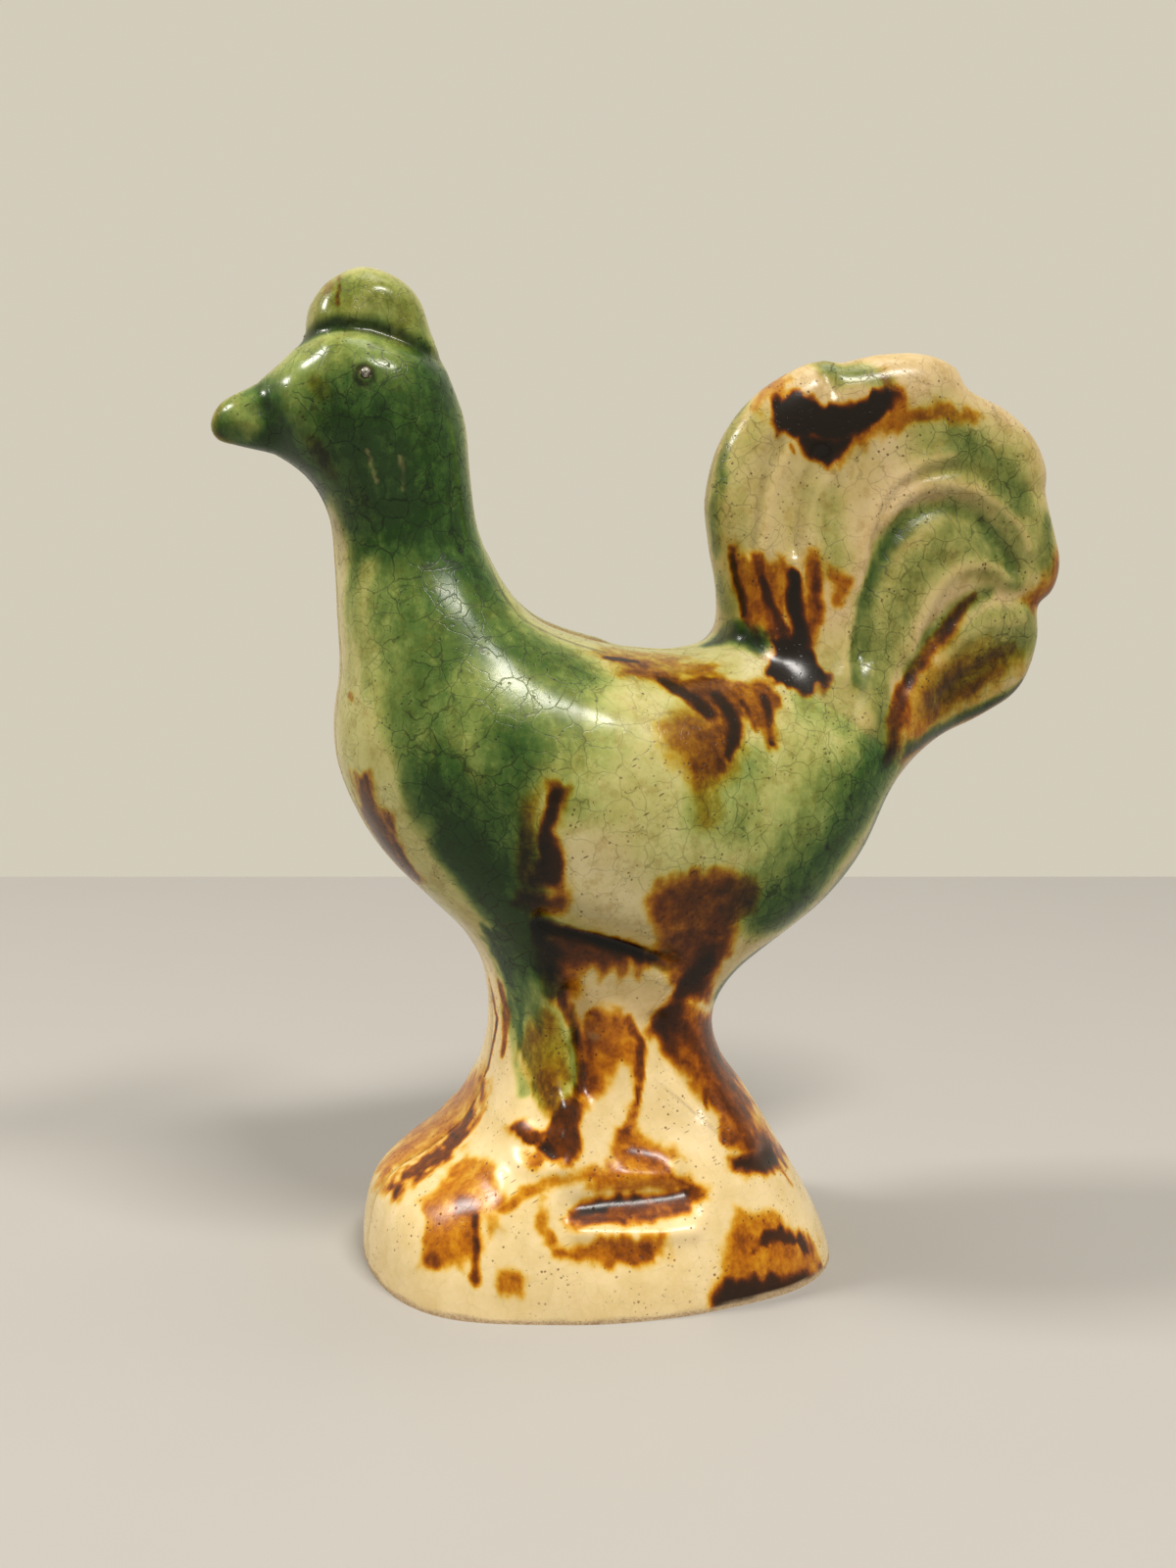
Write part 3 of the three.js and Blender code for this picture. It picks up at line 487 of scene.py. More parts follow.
def meshObject(name, points, faces):
    mesh = bpy.data.meshes.new(name)
    mesh.from_pydata([tuple(p) for p in points], [], [tuple(int(i) for i in face) for face in faces])
    mesh.update()
    return placed(name, mesh)


def turnOutward(piece, closeRim=False):
    work = bmesh.new()
    work.from_mesh(piece.data)
    if closeRim:
        bmesh.ops.holes_fill(work, edges=[edge for edge in work.edges if edge.is_boundary], sides=0)
    bmesh.ops.recalc_face_normals(work, faces=work.faces)
    work.to_mesh(piece.data)
    work.free()
    return piece


def gridLine(low, high, cell):
    return np.arange(low, high + cell, cell)


def clippedTo(values, xs, ys, zs, openSides):
    # closes the surface at the grid's own box, but not across the parting plane
    for axis, line in enumerate((xs, ys, zs)):
        shape = [1, 1, 1]
        shape[axis] = len(line)
        for sign, end in ((1, line[0]), (-1, line[-1])):
            if (axis, sign) not in openSides:
                values = np.minimum(values, (10 * sign * (line - end)).reshape(shape))
    return values


def surfaceOf(values, xs, ys, zs, openSides=()):
    values = clippedTo(values, xs, ys, zs, openSides)
    joinDiagonals(values)
    return netSurface(values, xs, ys, zs)


# The mould line: pressed in where two halves meet, deepest down the breast
seamLook = dict(depth=0.32, reach=0.55, front=1.0, back=0.7, elsewhere=0.15, frontRear=(-4, -12),
                frontTop=(124, 112), backFrom=(-26, -18), backTo=(20, 10), backFoot=(78, 84))


def seamRuns(x, z):
    # where the mould line shows: down the breast, and along the nape and back
    look = seamLook
    front = smooth(*look["frontRear"], x) * smooth(*look["frontTop"], z)
    return front, smooth(*look["backFrom"], x) * smooth(*look["backTo"], x) * smooth(*look["backFoot"], z)


def pinchSeam(side, points):
    x, y, z = points.T
    value, slope = skinAt(side, points)
    outward = -slope / np.linalg.norm(slope, axis=1, keepdims=True)
    front, back = seamRuns(x, z)
    share = np.maximum.reduce([front * seamLook["front"], back * seamLook["back"], x * 0 + seamLook["elsewhere"]])
    dip = seamLook["depth"] * share * np.exp(-(y / seamLook["reach"]) ** 2)
    return points - outward * dip[:, None] * (1, 0, 1)


def halfSolid(name, side, low, high, cell):
    # one half of the figure inside a box, closed with a flat face on the parting plane
    xs, zs = gridLine(low[0], high[0], cell), gridLine(low[2], high[2], cell)
    ys = np.sort(side * (-cell / 2 + gridLine(0, high[1], cell)))
    x, z = np.meshgrid(xs, zs, indexing="ij")
    values = sampleGrid(skins[side][0], x, z)[:, None, :] - (ys**2)[None, :, None]
    points, quads = surfaceOf(values, xs, ys, zs, [(1, side)])
    atParting = np.abs(points[:, 1]) < cell / 2
    points[atParting, 1] = 0
    points = settleOn(side, points, cell)
    points[atParting, 1] = 0
    return turnOutward(meshObject(name, pinchSeam(side, points), quads), True)


# The comb is one lump of clay, so its two sides make a single piece
def wholeSolid(name, low, high, cell):
    xs, zs = gridLine(low[0], high[0], cell), gridLine(low[2], high[2], cell)
    ys = np.concatenate([-gridLine(cell / 2, high[1], cell)[::-1], gridLine(cell / 2, high[1], cell)])
    x, z = np.meshgrid(xs, zs, indexing="ij")
    near, far = (sampleGrid(skins[side][0], x, z)[:, None, :] for side in (-1, 1))
    values = np.where(ys[None, :, None] < 0, near, far) - (ys**2)[None, :, None]
    points, quads = surfaceOf(values, xs, ys, zs)
    for side in (-1, 1):
        these = points[:, 1] * side > 0
        points[these] = settleOn(side, points[these], cell)
    return meshObject(name, points, quads)


blockSize = 400


def block(name, centre, turn=0, pivot=(0, 0, 0)):
    points = (np.array(list(np.ndindex(2, 2, 2))) - 0.5) * blockSize
    faces = [(0, 1, 3, 2), (4, 6, 7, 5), (0, 4, 5, 1), (2, 3, 7, 6), (0, 2, 6, 4), (1, 5, 7, 3)]
    piece = meshObject(name, points + centre, faces)
    piece.data.transform(Matrix.Translation(pivot) @ Matrix.Rotation(turn, 4, "Y"))
    return piece


def cut(piece, operation, *tools):
    for tool in tools:
        step = piece.modifiers.new("cut", "BOOLEAN")
        step.operation, step.solver, step.object = operation, "MANIFOLD", tool
        bpy.context.view_layer.update()
        shaped = bpy.data.meshes.new_from_object(piece.evaluated_get(bpy.context.evaluated_depsgraph_get()))
        piece.modifiers.clear()
        old = piece.data
        piece.data = shaped
        bpy.data.meshes.remove(old)
        if not len(shaped.polygons):
            raise RuntimeError("nothing is left of " + piece.name)


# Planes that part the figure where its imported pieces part
rootFront = (f.tailLead + 2, f.backHeight + 1.5)
rootBack = (f.rumpReach + 1.5, f.rumpHeight + 3)
rootTilt = math.atan2(rootBack[1] - rootFront[1], rootBack[0] - rootFront[0])
rootReach = 22
aboveJoint = block("aboveJoint", (0, 0, f.jointHeight + blockSize / 2))
aboveComb = block("aboveComb", (0, 0, f.combFoot + blockSize / 2))
belowTable = block("belowTable", (0, 0, -blockSize / 2))
rootBlock = block("rootBlock", (blockSize / 2 - rootReach, 0, blockSize / 2), -rootTilt,
                  (rootFront[0], 0, rootFront[1]))


# The hollow inside bird and base: its grid's cell, how far that reaches, and where one wall eases into the other
hollowLook = dict(cell=1.6, margin=5, below=6, underThroat=6, easing=8)


def hollowSolid(cell, margin, below, underThroat, easing):
    xs = gridLine(-f.footFront - margin, f.rumpReach + margin, cell)
    ys = gridLine(-f.baseWidth / 2, f.baseWidth / 2, cell)
    zs = gridLine(-below, f.throatHeight - underThroat, cell)
    x, y, z = np.meshgrid(xs, ys, zs, indexing="ij")
    slopeZ, slopeX = np.gradient(plainForm, formCell)
    gx, gz = sampleGrid(slopeX, x, z), sampleGrid(slopeZ, x, z)
    depth = (sampleGrid(plainForm, x, z) - y * y) / np.maximum(1, np.sqrt(gx**2 + 4 * y * y + gz**2))
    wall = lerp(f.baseWall, f.birdWall, smooth(f.jointHeight - easing, f.jointHeight + easing, z))
    underRoot = (x - rootFront[0]) * math.sin(rootTilt) - (z - rootFront[1]) * math.cos(rootTilt) - f.birdWall
    values = np.where(x > rootFront[0] - rootReach, np.minimum(depth - wall, underRoot), depth - wall)
    return meshObject("hollow", *surfaceOf(values, xs, ys, zs))


# Rolls of clay pressed along the inside of the seam
rollLook = dict(radius=2.0, bite=1.0, foot=6, gap=0.3, sides=18, knead=0.22, kneadSpan=5, bendEvery=6)


def seamPath(start, end, wall):
    away = [np.hypot(*(outline - np.array(place)).T).argmin() for place in (start, end)]
    span = (away[1] - away[0]) % len(outline)
    bends = max(3, round(span / rollLook["bendEvery"]))
    path = []
    for n in range(bends + 1):
        index = (away[0] + round(span * n / bends)) % len(outline)
        before, after = outline[index - 2], outline[(index + 2) % len(outline)]
        inward = np.array([after[1] - before[1], before[0] - after[0]])
        inward *= (wall + rollLook["radius"] - rollLook["bite"]) / np.linalg.norm(inward)
        path.append(outline[index] + inward)
    return np.array(path)


def openSpline(path, perStretch):
    ends = np.vstack([2 * path[0] - path[1], path, 2 * path[-1] - path[-2]])
    loop = splineLoop(ends, perStretch)
    return np.vstack([loop[perStretch:perStretch * len(path)], path[-1:]])


def rollSolid(name, path, radius, extend, knead):
    line = openSpline(path, 5)
    for last, before in ((0, 1), (-1, -2)):
        away = line[last] - line[before]
        line[last] += away / np.linalg.norm(away) * extend
    count, sides = len(line), rollLook["sides"]
    centre = np.stack([line[:, 0], np.zeros(count), line[:, 1]], -1)[:, None]
    along = np.gradient(centre, axis=0)
    across = np.cross(along / np.linalg.norm(along, axis=2, keepdims=True), (0, 1, 0))
    turns = (np.arange(sides) * 2 * math.pi / sides)[None, :, None]
    spoke = radius * (np.cos(turns) * across + np.sin(turns) * np.array([0, 1, 0]))
    squeeze = 1 - knead * (0.5 + 0.5 * clayNoise(centre + spoke, rollLook["kneadSpan"]))
    ring = centre + spoke * squeeze[..., None]
    faces = [(i * sides + j, i * sides + (j + 1) % sides, (i + 1) * sides + (j + 1) % sides, (i + 1) * sides + j)
             for i in range(count - 1) for j in range(sides)]
    faces += [tuple(range(sides))[::-1], tuple((count - 1) * sides + j for j in range(sides))]
    return turnOutward(meshObject(name, ring.reshape(-1, 3), faces))


seams = {
    "front_seam_roll": seamPath((-f.waistFront, f.jointHeight + 4), (-f.neckFront, f.throatHeight - 14), f.birdWall),
    "back_seam_roll": seamPath((-f.neckBack, f.throatHeight - 6), (f.tailLead - 4, f.backHeight), f.birdWall),
    "rear_seam_roll": seamPath((f.rumpReach - 1, f.rumpHeight - 3), (f.waistBack, f.jointHeight + 4), f.birdWall),
    "base_rear_seam_roll": seamPath((f.waistBack, f.jointHeight - 4), (f.footBack, rollLook["foot"]), f.baseWall),
    "base_front_seam_roll": seamPath((-f.footFront, rollLook["foot"]), (-f.waistFront, f.jointHeight - 4), f.baseWall),
}
hollow = hollowSolid(**hollowLook)
grooves = {name: rollSolid("groove_" + name, path, rollLook["radius"] + rollLook["gap"], rollLook["gap"], 0)
           for name, path in seams.items()}
print("hollow and seam grooves made")

eyeLook = dict(radius=0.66, dimple=0.8, flatten=0.8, light=(0.46, 0.44, 0.36), dark=(0.06, 0.055, 0.04))


def ballSolid(name, centre, radius, flatten):
    work = bmesh.new()
    bmesh.ops.create_icosphere(work, subdivisions=4, radius=radius)
    work.transform(Matrix.Translation(centre) @ Matrix.Diagonal((1, flatten, 1, 1)))
    mesh = bpy.data.meshes.new(name)
    work.to_mesh(mesh)
    work.free()
    return placed(name, mesh)


sideNames = {-1: "left", 1: "right"}
# Each half: what its piece is called, its box in mm, its cell on the left and right, and its cuts in their order
halfLooks = {
    "bird": dict(piece="shell", low=(-59, 0, 34), high=(48, 27, 133), cells=(0.42, 0.5), within=(aboveJoint,),
                 without=(rootBlock, aboveComb, hollow), seams=("front", "back", "rear")),
    "tail": dict(piece="feathers", low=(8, 0, 60), high=(72, 17, 133), cells=(0.36, 0.45), within=(rootBlock,),
                 without=(), seams=()),
    "base": dict(piece="mound", low=(-40, 0, -2), high=(34, 32, 39), cells=(0.42, 0.5), within=(),
                 without=(aboveJoint, belowTable, hollow), seams=("base_rear", "base_front")),
}
shells = {}
eyeCentres = {}
for side, sideName in sideNames.items():
    eyeHalf = math.sqrt(sampleGrid(skins[side][0], np.array(eyeSpot[0]), np.array(eyeSpot[1])))
    eyeCentres[side] = (eyeSpot[0], side * eyeHalf, eyeSpot[1])
    for part, look in halfLooks.items():
        name = f"{part}_{sideName}_{look['piece']}"
        piece = halfSolid(name, side, look["low"], look["high"], look["cells"][side > 0])
        cut(piece, "INTERSECT", *look["within"])
        cut(piece, "DIFFERENCE", *look["without"], *(grooves[seam + "_seam_roll"] for seam in look["seams"]))
        shells[f"{part}_{sideName}_half"] = (piece, side)
    dimple = ballSolid("dimple", eyeCentres[side], eyeLook["dimple"], 1)
    cut(shells[f"bird_{sideName}_half"][0], "DIFFERENCE", dimple)
    bpy.data.objects.remove(dimple)
    print(sideName, "half cut:", sum(len(shell.data.polygons) for shell, own in shells.values()), "faces so far")

comb = wholeSolid("comb_lump", (-47, -9, 128), (-20, 9, 142), 0.35)
cut(comb, "INTERSECT", aboveComb)
cut(comb, "DIFFERENCE", rootBlock)
shells["comb"] = (comb, 0)

for tool in (aboveJoint, aboveComb, belowTable, rootBlock, hollow, *grooves.values()):
    bpy.data.objects.remove(tool)

# Eyes: pellets of clay in a pressed ring
eyes = {f"{name}_eye": ballSolid(f"{name}_eye_bead", eyeCentres[side], eyeLook["radius"], eyeLook["flatten"])
        for side, name in sideNames.items()}

rolls = {name: rollSolid(name.replace("_roll", "_clay"), path, rollLook["radius"], 0, rollLook["knead"])
         for name, path in seams.items()}

# Brown glaze in splashes, placed over the picture: how brown at the edge, how brown inside, how many
# pixels in that takes, and the splash's outline in pixels
brownSplashes = [
    # tail
    (1.0, 1.15, 8, [(788, 431), (790, 410), (797, 401), (813, 397), (828, 402), (840, 413), (856, 414), (872, 413),
        (888, 401), (904, 392), (914, 399), (912, 419), (898, 434), (884, 442), (868, 450), (852, 452), (838, 450),
        (822, 446), (808, 447), (794, 446)]),
    (0.28, 0.42, 8, [(884, 384), (904, 380), (924, 394), (930, 418), (916, 440), (894, 446), (876, 458), (862, 472),
        (848, 478), (868, 446), (904, 420), (904, 396)]),
    (0.7, 1.0, 9, [(812, 440), (850, 445), (880, 438), (872, 456), (858, 466), (845, 476), (832, 468), (820, 458)]),
    (0.25, 0.36, 6, [(905, 428), (925, 415), (960, 412), (1000, 414), (1006, 425), (962, 429), (930, 433),
        (900, 448)]),
    (0.3, 0.38, 6, [(774, 396), (790, 379), (806, 383), (798, 396), (784, 404), (776, 424), (768, 418)]),
    (0.18, 0.42, 12, [(739, 552), (756, 562), (780, 564), (802, 570), (800, 640), (794, 667), (776, 653), (760, 632),
        (748, 606), (741, 576)]),
    (0.26, 0.55, 8, [(739, 546), (752, 556), (757, 580), (763, 606), (779, 648), (782, 658), (768, 646), (753, 622),
        (744, 592)]),
    (0.26, 0.6, 8, [(761, 560), (779, 562), (785, 588), (789, 622), (797, 668), (784, 660), (775, 632), (767, 598)]),
    (0.3, 0.5, 7, [(790, 562), (802, 566), (801, 600), (799, 650), (794, 640), (791, 600)]),
    (0.3, 0.5, 10, [(824, 558), (839, 555), (844, 576), (842, 604), (840, 636), (832, 660), (820, 668), (818, 640),
        (821, 600), (820, 570)]),
    (0.3, 0.42, 8, [(845, 572), (856, 583), (869, 592), (867, 606), (857, 618), (847, 613), (842, 590)]),
    (1.0, 1.1, 8, [(784, 650), (808, 656), (827, 666), (848, 690), (843, 703), (822, 707), (799, 700), (785, 690),
        (789, 672)]),
    (0.22, 0.46, 16, [(903, 774), (908, 735), (915, 705), (926, 680), (945, 655), (965, 630), (985, 609), (996, 611),
        (986, 631), (968, 654), (950, 680), (937, 705), (931, 738), (918, 776)]),
    (0.12, 0.34, 26, [(900, 778), (914, 738), (926, 700), (946, 672), (978, 654), (1012, 650), (1044, 660),
        (1048, 682), (1020, 708), (985, 728), (950, 750), (918, 784)]),
    (0.3, 0.45, 8, [(1045, 612), (1060, 596), (1072, 580), (1078, 558), (1084, 574), (1079, 601), (1066, 620),
        (1052, 624)]),
    # back and breast
    (0.3, 0.52, 8, [(618, 670), (653, 675), (683, 679), (696, 690), (720, 687), (753, 693), (787, 697), (797, 711),
        (791, 727), (794, 762), (784, 768), (773, 743), (760, 736), (757, 753), (748, 762), (741, 788), (730, 790),
        (722, 768), (706, 750), (713, 733), (704, 718), (680, 704), (660, 697), (640, 687)]),
    (0.12, 0.42, 28, [(664, 734), (690, 716), (730, 714), (760, 742), (758, 786), (732, 808), (700, 802),
        (674, 776)]),
    (0.12, 0.34, 12, [(596, 664), (640, 660), (690, 668), (742, 676), (730, 694), (690, 704), (650, 696),
        (616, 682)]),
    (0.3, 0.68, 13, [(555, 793), (571, 792), (581, 803), (574, 827), (568, 847), (573, 867), (569, 893), (581, 900),
        (577, 914), (553, 912), (534, 908), (537, 888), (550, 873), (547, 853), (553, 833), (550, 807)]),
    (0.03, 0.42, 24, [(516, 812), (556, 793), (566, 912), (528, 926), (516, 884), (524, 840)]),
    (0.4, 0.7, 12, [(528, 906), (580, 908), (574, 934), (548, 938), (522, 924)]),
    (0.45, 0.62, 6, [(360, 788), (376, 789), (384, 813), (394, 833), (408, 860), (432, 902), (420, 899), (400, 879),
        (383, 860), (369, 833), (361, 810)]),
    # belly
    (0.32, 0.64, 18, [(667, 900), (683, 890), (713, 886), (747, 885), (771, 893), (781, 907), (774, 927), (761, 940),
        (753, 960), (737, 986), (721, 1006), (712, 1022), (692, 1022), (683, 1000), (673, 987), (667, 960),
        (660, 940), (660, 918)]),
    (0.45, 0.8, 16, [(690, 962), (733, 953), (763, 930), (748, 967), (733, 996), (726, 1024), (700, 1020),
        (680, 1030), (688, 1000), (694, 978)]),
    (0.36, 0.7, 20, [(540, 948), (582, 946), (625, 955), (661, 967), (688, 977), (682, 990), (668, 986), (656, 996),
        (646, 988), (634, 1000), (624, 992), (614, 1002), (604, 993), (594, 999), (592, 1014), (582, 1020),
        (576, 1034), (560, 1026), (548, 1000), (542, 975)]),
    # legs
    (0.22, 0.42, 14, [(535, 1049), (545, 1031), (560, 1026), (574, 1037), (583, 1061), (583, 1098), (576, 1128),
        (566, 1142), (552, 1134), (541, 1116), (533, 1092), (530, 1070)]),
    (0.3, 0.5, 14, [(598, 1037), (613, 1027), (631, 1030), (646, 1043), (656, 1061), (660, 1076), (655, 1092),
        (652, 1116), (651, 1136), (644, 1134), (643, 1110), (642, 1092), (636, 1086), (628, 1098), (616, 1116),
        (601, 1128), (592, 1136), (590, 1110), (594, 1079), (592, 1055)]),
    (0.8, 1.0, 7, [(557, 1157), (566, 1140), (573, 1122), (586, 1127), (590, 1149), (591, 1170), (586, 1187),
        (567, 1188), (556, 1182), (549, 1173), (553, 1165)]),
    (0.5, 0.75, 5, [(560, 1152), (546, 1150), (528, 1146), (518, 1153), (526, 1163), (540, 1165), (554, 1168)]),
    (0.3, 0.45, 5, [(532, 1179), (549, 1176), (562, 1181), (556, 1193), (543, 1195), (533, 1189)]),
    (0.4, 0.76, 14, [(662, 1037), (679, 1027), (704, 1022), (726, 1030), (733, 1049), (742, 1067), (749, 1086),
        (760, 1109), (772, 1122), (776, 1140), (789, 1158), (798, 1173), (802, 1188), (789, 1198), (764, 1200),
        (745, 1193), (742, 1182), (755, 1177), (739, 1170), (741, 1153), (728, 1136), (716, 1122), (704, 1104),
        (690, 1089), (676, 1080), (669, 1061), (659, 1051)]),
    (0.55, 0.8, 8, [(744, 1186), (764, 1178), (790, 1170), (800, 1186), (786, 1196), (764, 1199), (748, 1195)]),
    # mound
    (0.3, 0.44, 14, [(757, 1236), (776, 1237), (792, 1242), (810, 1254), (826, 1270), (839, 1288), (846, 1304),
        (845, 1316), (825, 1326), (788, 1336), (758, 1342), (734, 1344), (725, 1338), (723, 1316), (731, 1294),
        (737, 1279), (741, 1261), (748, 1245)]),
    (0.55, 0.86, 8, [(763, 1284), (764, 1264), (776, 1254), (798, 1251), (819, 1257), (829, 1272), (832, 1289),
        (819, 1281), (806, 1271), (788, 1271), (778, 1280)]),
    (0.42, 0.96, 14, [(721, 1322), (734, 1302), (764, 1295), (794, 1293), (822, 1292), (838, 1286), (849, 1300),
        (852, 1324), (825, 1338), (788, 1347), (758, 1352), (728, 1354)]),
    (0.34, 0.52, 8, [(557, 1271), (579, 1277), (600, 1267), (616, 1259), (680, 1260), (678, 1279), (671, 1294),
        (643, 1292), (606, 1290), (582, 1287), (564, 1281)]),
    (0.4, 0.52, 9, [(572, 1243), (585, 1231), (600, 1220), (631, 1215), (661, 1216), (688, 1215), (704, 1210),
        (725, 1212), (722, 1226), (704, 1235), (679, 1241), (655, 1247), (625, 1251), (594, 1253), (578, 1250)]),
    (0.5, 0.82, 12, [(576, 1244), (594, 1227), (612, 1220), (643, 1218), (679, 1217), (699, 1219), (680, 1229),
        (643, 1232), (619, 1241), (592, 1247)]),
    (0.26, 0.39, 12, [(630, 1152), (649, 1148), (667, 1157), (679, 1168), (692, 1163), (699, 1179), (689, 1191),
        (704, 1200), (711, 1213), (679, 1216), (643, 1216), (606, 1219), (597, 1213), (606, 1194), (622, 1182),
        (627, 1167)]),
    (0.4, 0.6, 12, [(629, 1174), (649, 1165), (671, 1172), (686, 1187), (699, 1201), (708, 1213), (688, 1208),
        (673, 1196), (655, 1187), (636, 1187)]),
    (0.28, 0.4, 14, [(459, 1188), (476, 1178), (492, 1181), (513, 1200), (517, 1219), (513, 1234), (503, 1241),
        (512, 1256), (499, 1263), (491, 1244), (488, 1258), (492, 1279), (478, 1290), (472, 1302), (464, 1286),
        (452, 1293), (429, 1292), (435, 1270), (430, 1243), (425, 1227), (440, 1218), (457, 1200)]),
    (0.34, 0.58, 16, [(462, 1212), (480, 1208), (494, 1222), (492, 1242), (478, 1250), (460, 1244), (452, 1228)]),
    (0.35, 0.42, 6, [(512, 1294), (528, 1291), (535, 1303), (532, 1320), (518, 1323), (508, 1310)]),
    (0.42, 0.66, 7, [(489, 1098), (485, 1122), (464, 1146), (452, 1164), (431, 1176), (410, 1188), (393, 1214),
        (401, 1227), (413, 1208), (437, 1197), (465, 1181), (478, 1158), (494, 1128), (498, 1100)]),
    (0.2, 0.36, 10, [(492, 1081), (470, 1098), (445, 1118), (420, 1140), (400, 1163), (385, 1188), (378, 1214),
        (392, 1216), (408, 1192), (431, 1180), (452, 1168), (466, 1148), (486, 1124), (493, 1100)]),
]
greenSplashes = [
    (0.4, 1.05, 14, [(484, 940), (543, 940), (550, 976), (555, 1000), (551, 1020), (543, 1040), (543, 1070),
        (549, 1102), (538, 1096), (527, 1067), (520, 1040), (513, 1010), (500, 976)]),
    (0.3, 0.52, 10, [(536, 1022), (561, 1014), (580, 1030), (592, 1058), (592, 1092), (584, 1124), (568, 1142),
        (549, 1130), (537, 1102), (529, 1070), (529, 1042)]),
]
# and in strokes: strength, radius in pixels, points in pixels, where a third number is that point's own radius
brownRunsAndShade = [
    # tail
    (0.72, 4, [(776, 590), (786, 618), (800, 652, 6)]), (1.15, 9, [(808, 584, 7), (812, 620), (818, 672, 10)]),
    (0.4, 5, [(832, 585), (836, 634)]), (0.2, 8, [(855, 592), (856, 610)]),
    (0.6, 4, [(744, 560), (752, 592), (760, 628)]), (0.5, 2.5, [(808, 455), (810, 462)]),
    (0.2, 7, [(935, 745), (975, 712), (1020, 685)]), (0.18, 6, [(945, 712), (985, 684), (1030, 662)]),
    # painted shade along the tail's underside edge
    (0.3, 7, [(920, 775), (955, 752), (1000, 728), (1046, 696)]),
    (0.4, 7, [(905, 775), (915, 715), (932, 678), (950, 656), (974, 627), (992, 609, 4)]),
    # back, breast and belly
    (0.85, 4, [(620, 672), (650, 676)]), (0.85, 7, [(676, 694), (704, 711), (724, 727)]),
    (0.9, 8, [(733, 712), (748, 740), (742, 770, 5)]), (0.8, 5, [(777, 712), (787, 758, 3)]),
    (0.5, 3, [(759, 718), (770, 744)]), (0.4, 3, [(357, 706), (360, 713)]), (0.24, 16, [(716, 800), (722, 828)]),
    (0.7, 7, [(548, 944), (590, 954), (648, 970)]), (0.85, 8, [(564, 812, 6), (561, 850), (565, 894)]),
    (0.4, 4, [(404, 862), (418, 884)]),
    # legs
    (0.5, 6, [(572, 1014), (586, 1045), (592, 1075), (590, 1105), (586, 1125)]),
    (0.9, 9, [(586, 1128), (582, 1168, 11)]), (0.45, 10, [(556, 1100), (566, 1128)]),
    (0.7, 5, [(640, 1040), (655, 1063), (652, 1096), (647, 1132, 3)]), (0.6, 4, [(602, 1034), (626, 1042)]),
    (0.9, 11, [(718, 984), (702, 1008), (686, 1032)]),
    (0.66, 7, [(690, 1040, 8), (712, 1068), (730, 1098), (748, 1135), (765, 1165)]),
    (0.6, 4, [(720, 1112), (723, 1136, 2)]), (0.6, 4, [(738, 1145), (741, 1166, 3)]),
    (0.4, 3, [(798, 1196), (807, 1209)]), (0.8, 4, [(499, 1001), (507, 1037), (502, 1073), (495, 1095)]),
    (0.6, 8, [(511, 1008), (517, 1040), (514, 1072, 5)]),
    # mound
    (0.42, 7, [(604, 1194), (583, 1201), (561, 1210), (533, 1221), (511, 1240, 4)]),
    (0.4, 5, [(556, 1224), (552, 1250), (561, 1268)]), (0.35, 6, [(647, 1140), (640, 1156)]),
    (0.4, 5, [(600, 1246), (640, 1248), (700, 1236)]), (0.7, 4, [(484, 1244), (486, 1278), (486, 1302, 7)]),
    (0.5, 7, [(440, 1282), (442, 1288)]),
    # head
    (0.35, 6, [(332, 290), (336, 296)]), (0.42, 2.5, [(348, 281), (346, 296), (344, 312)]),
    (0.22, 9, [(322, 392), (328, 400)]), (0.3, 9, [(318, 452), (334, 482)]), (0.2, 8, [(222, 418), (219, 430)]),
    (0.34, 8, [(222, 446), (262, 460)]), (0.1, 26, [(335, 305), (380, 300), (415, 325)]),
]
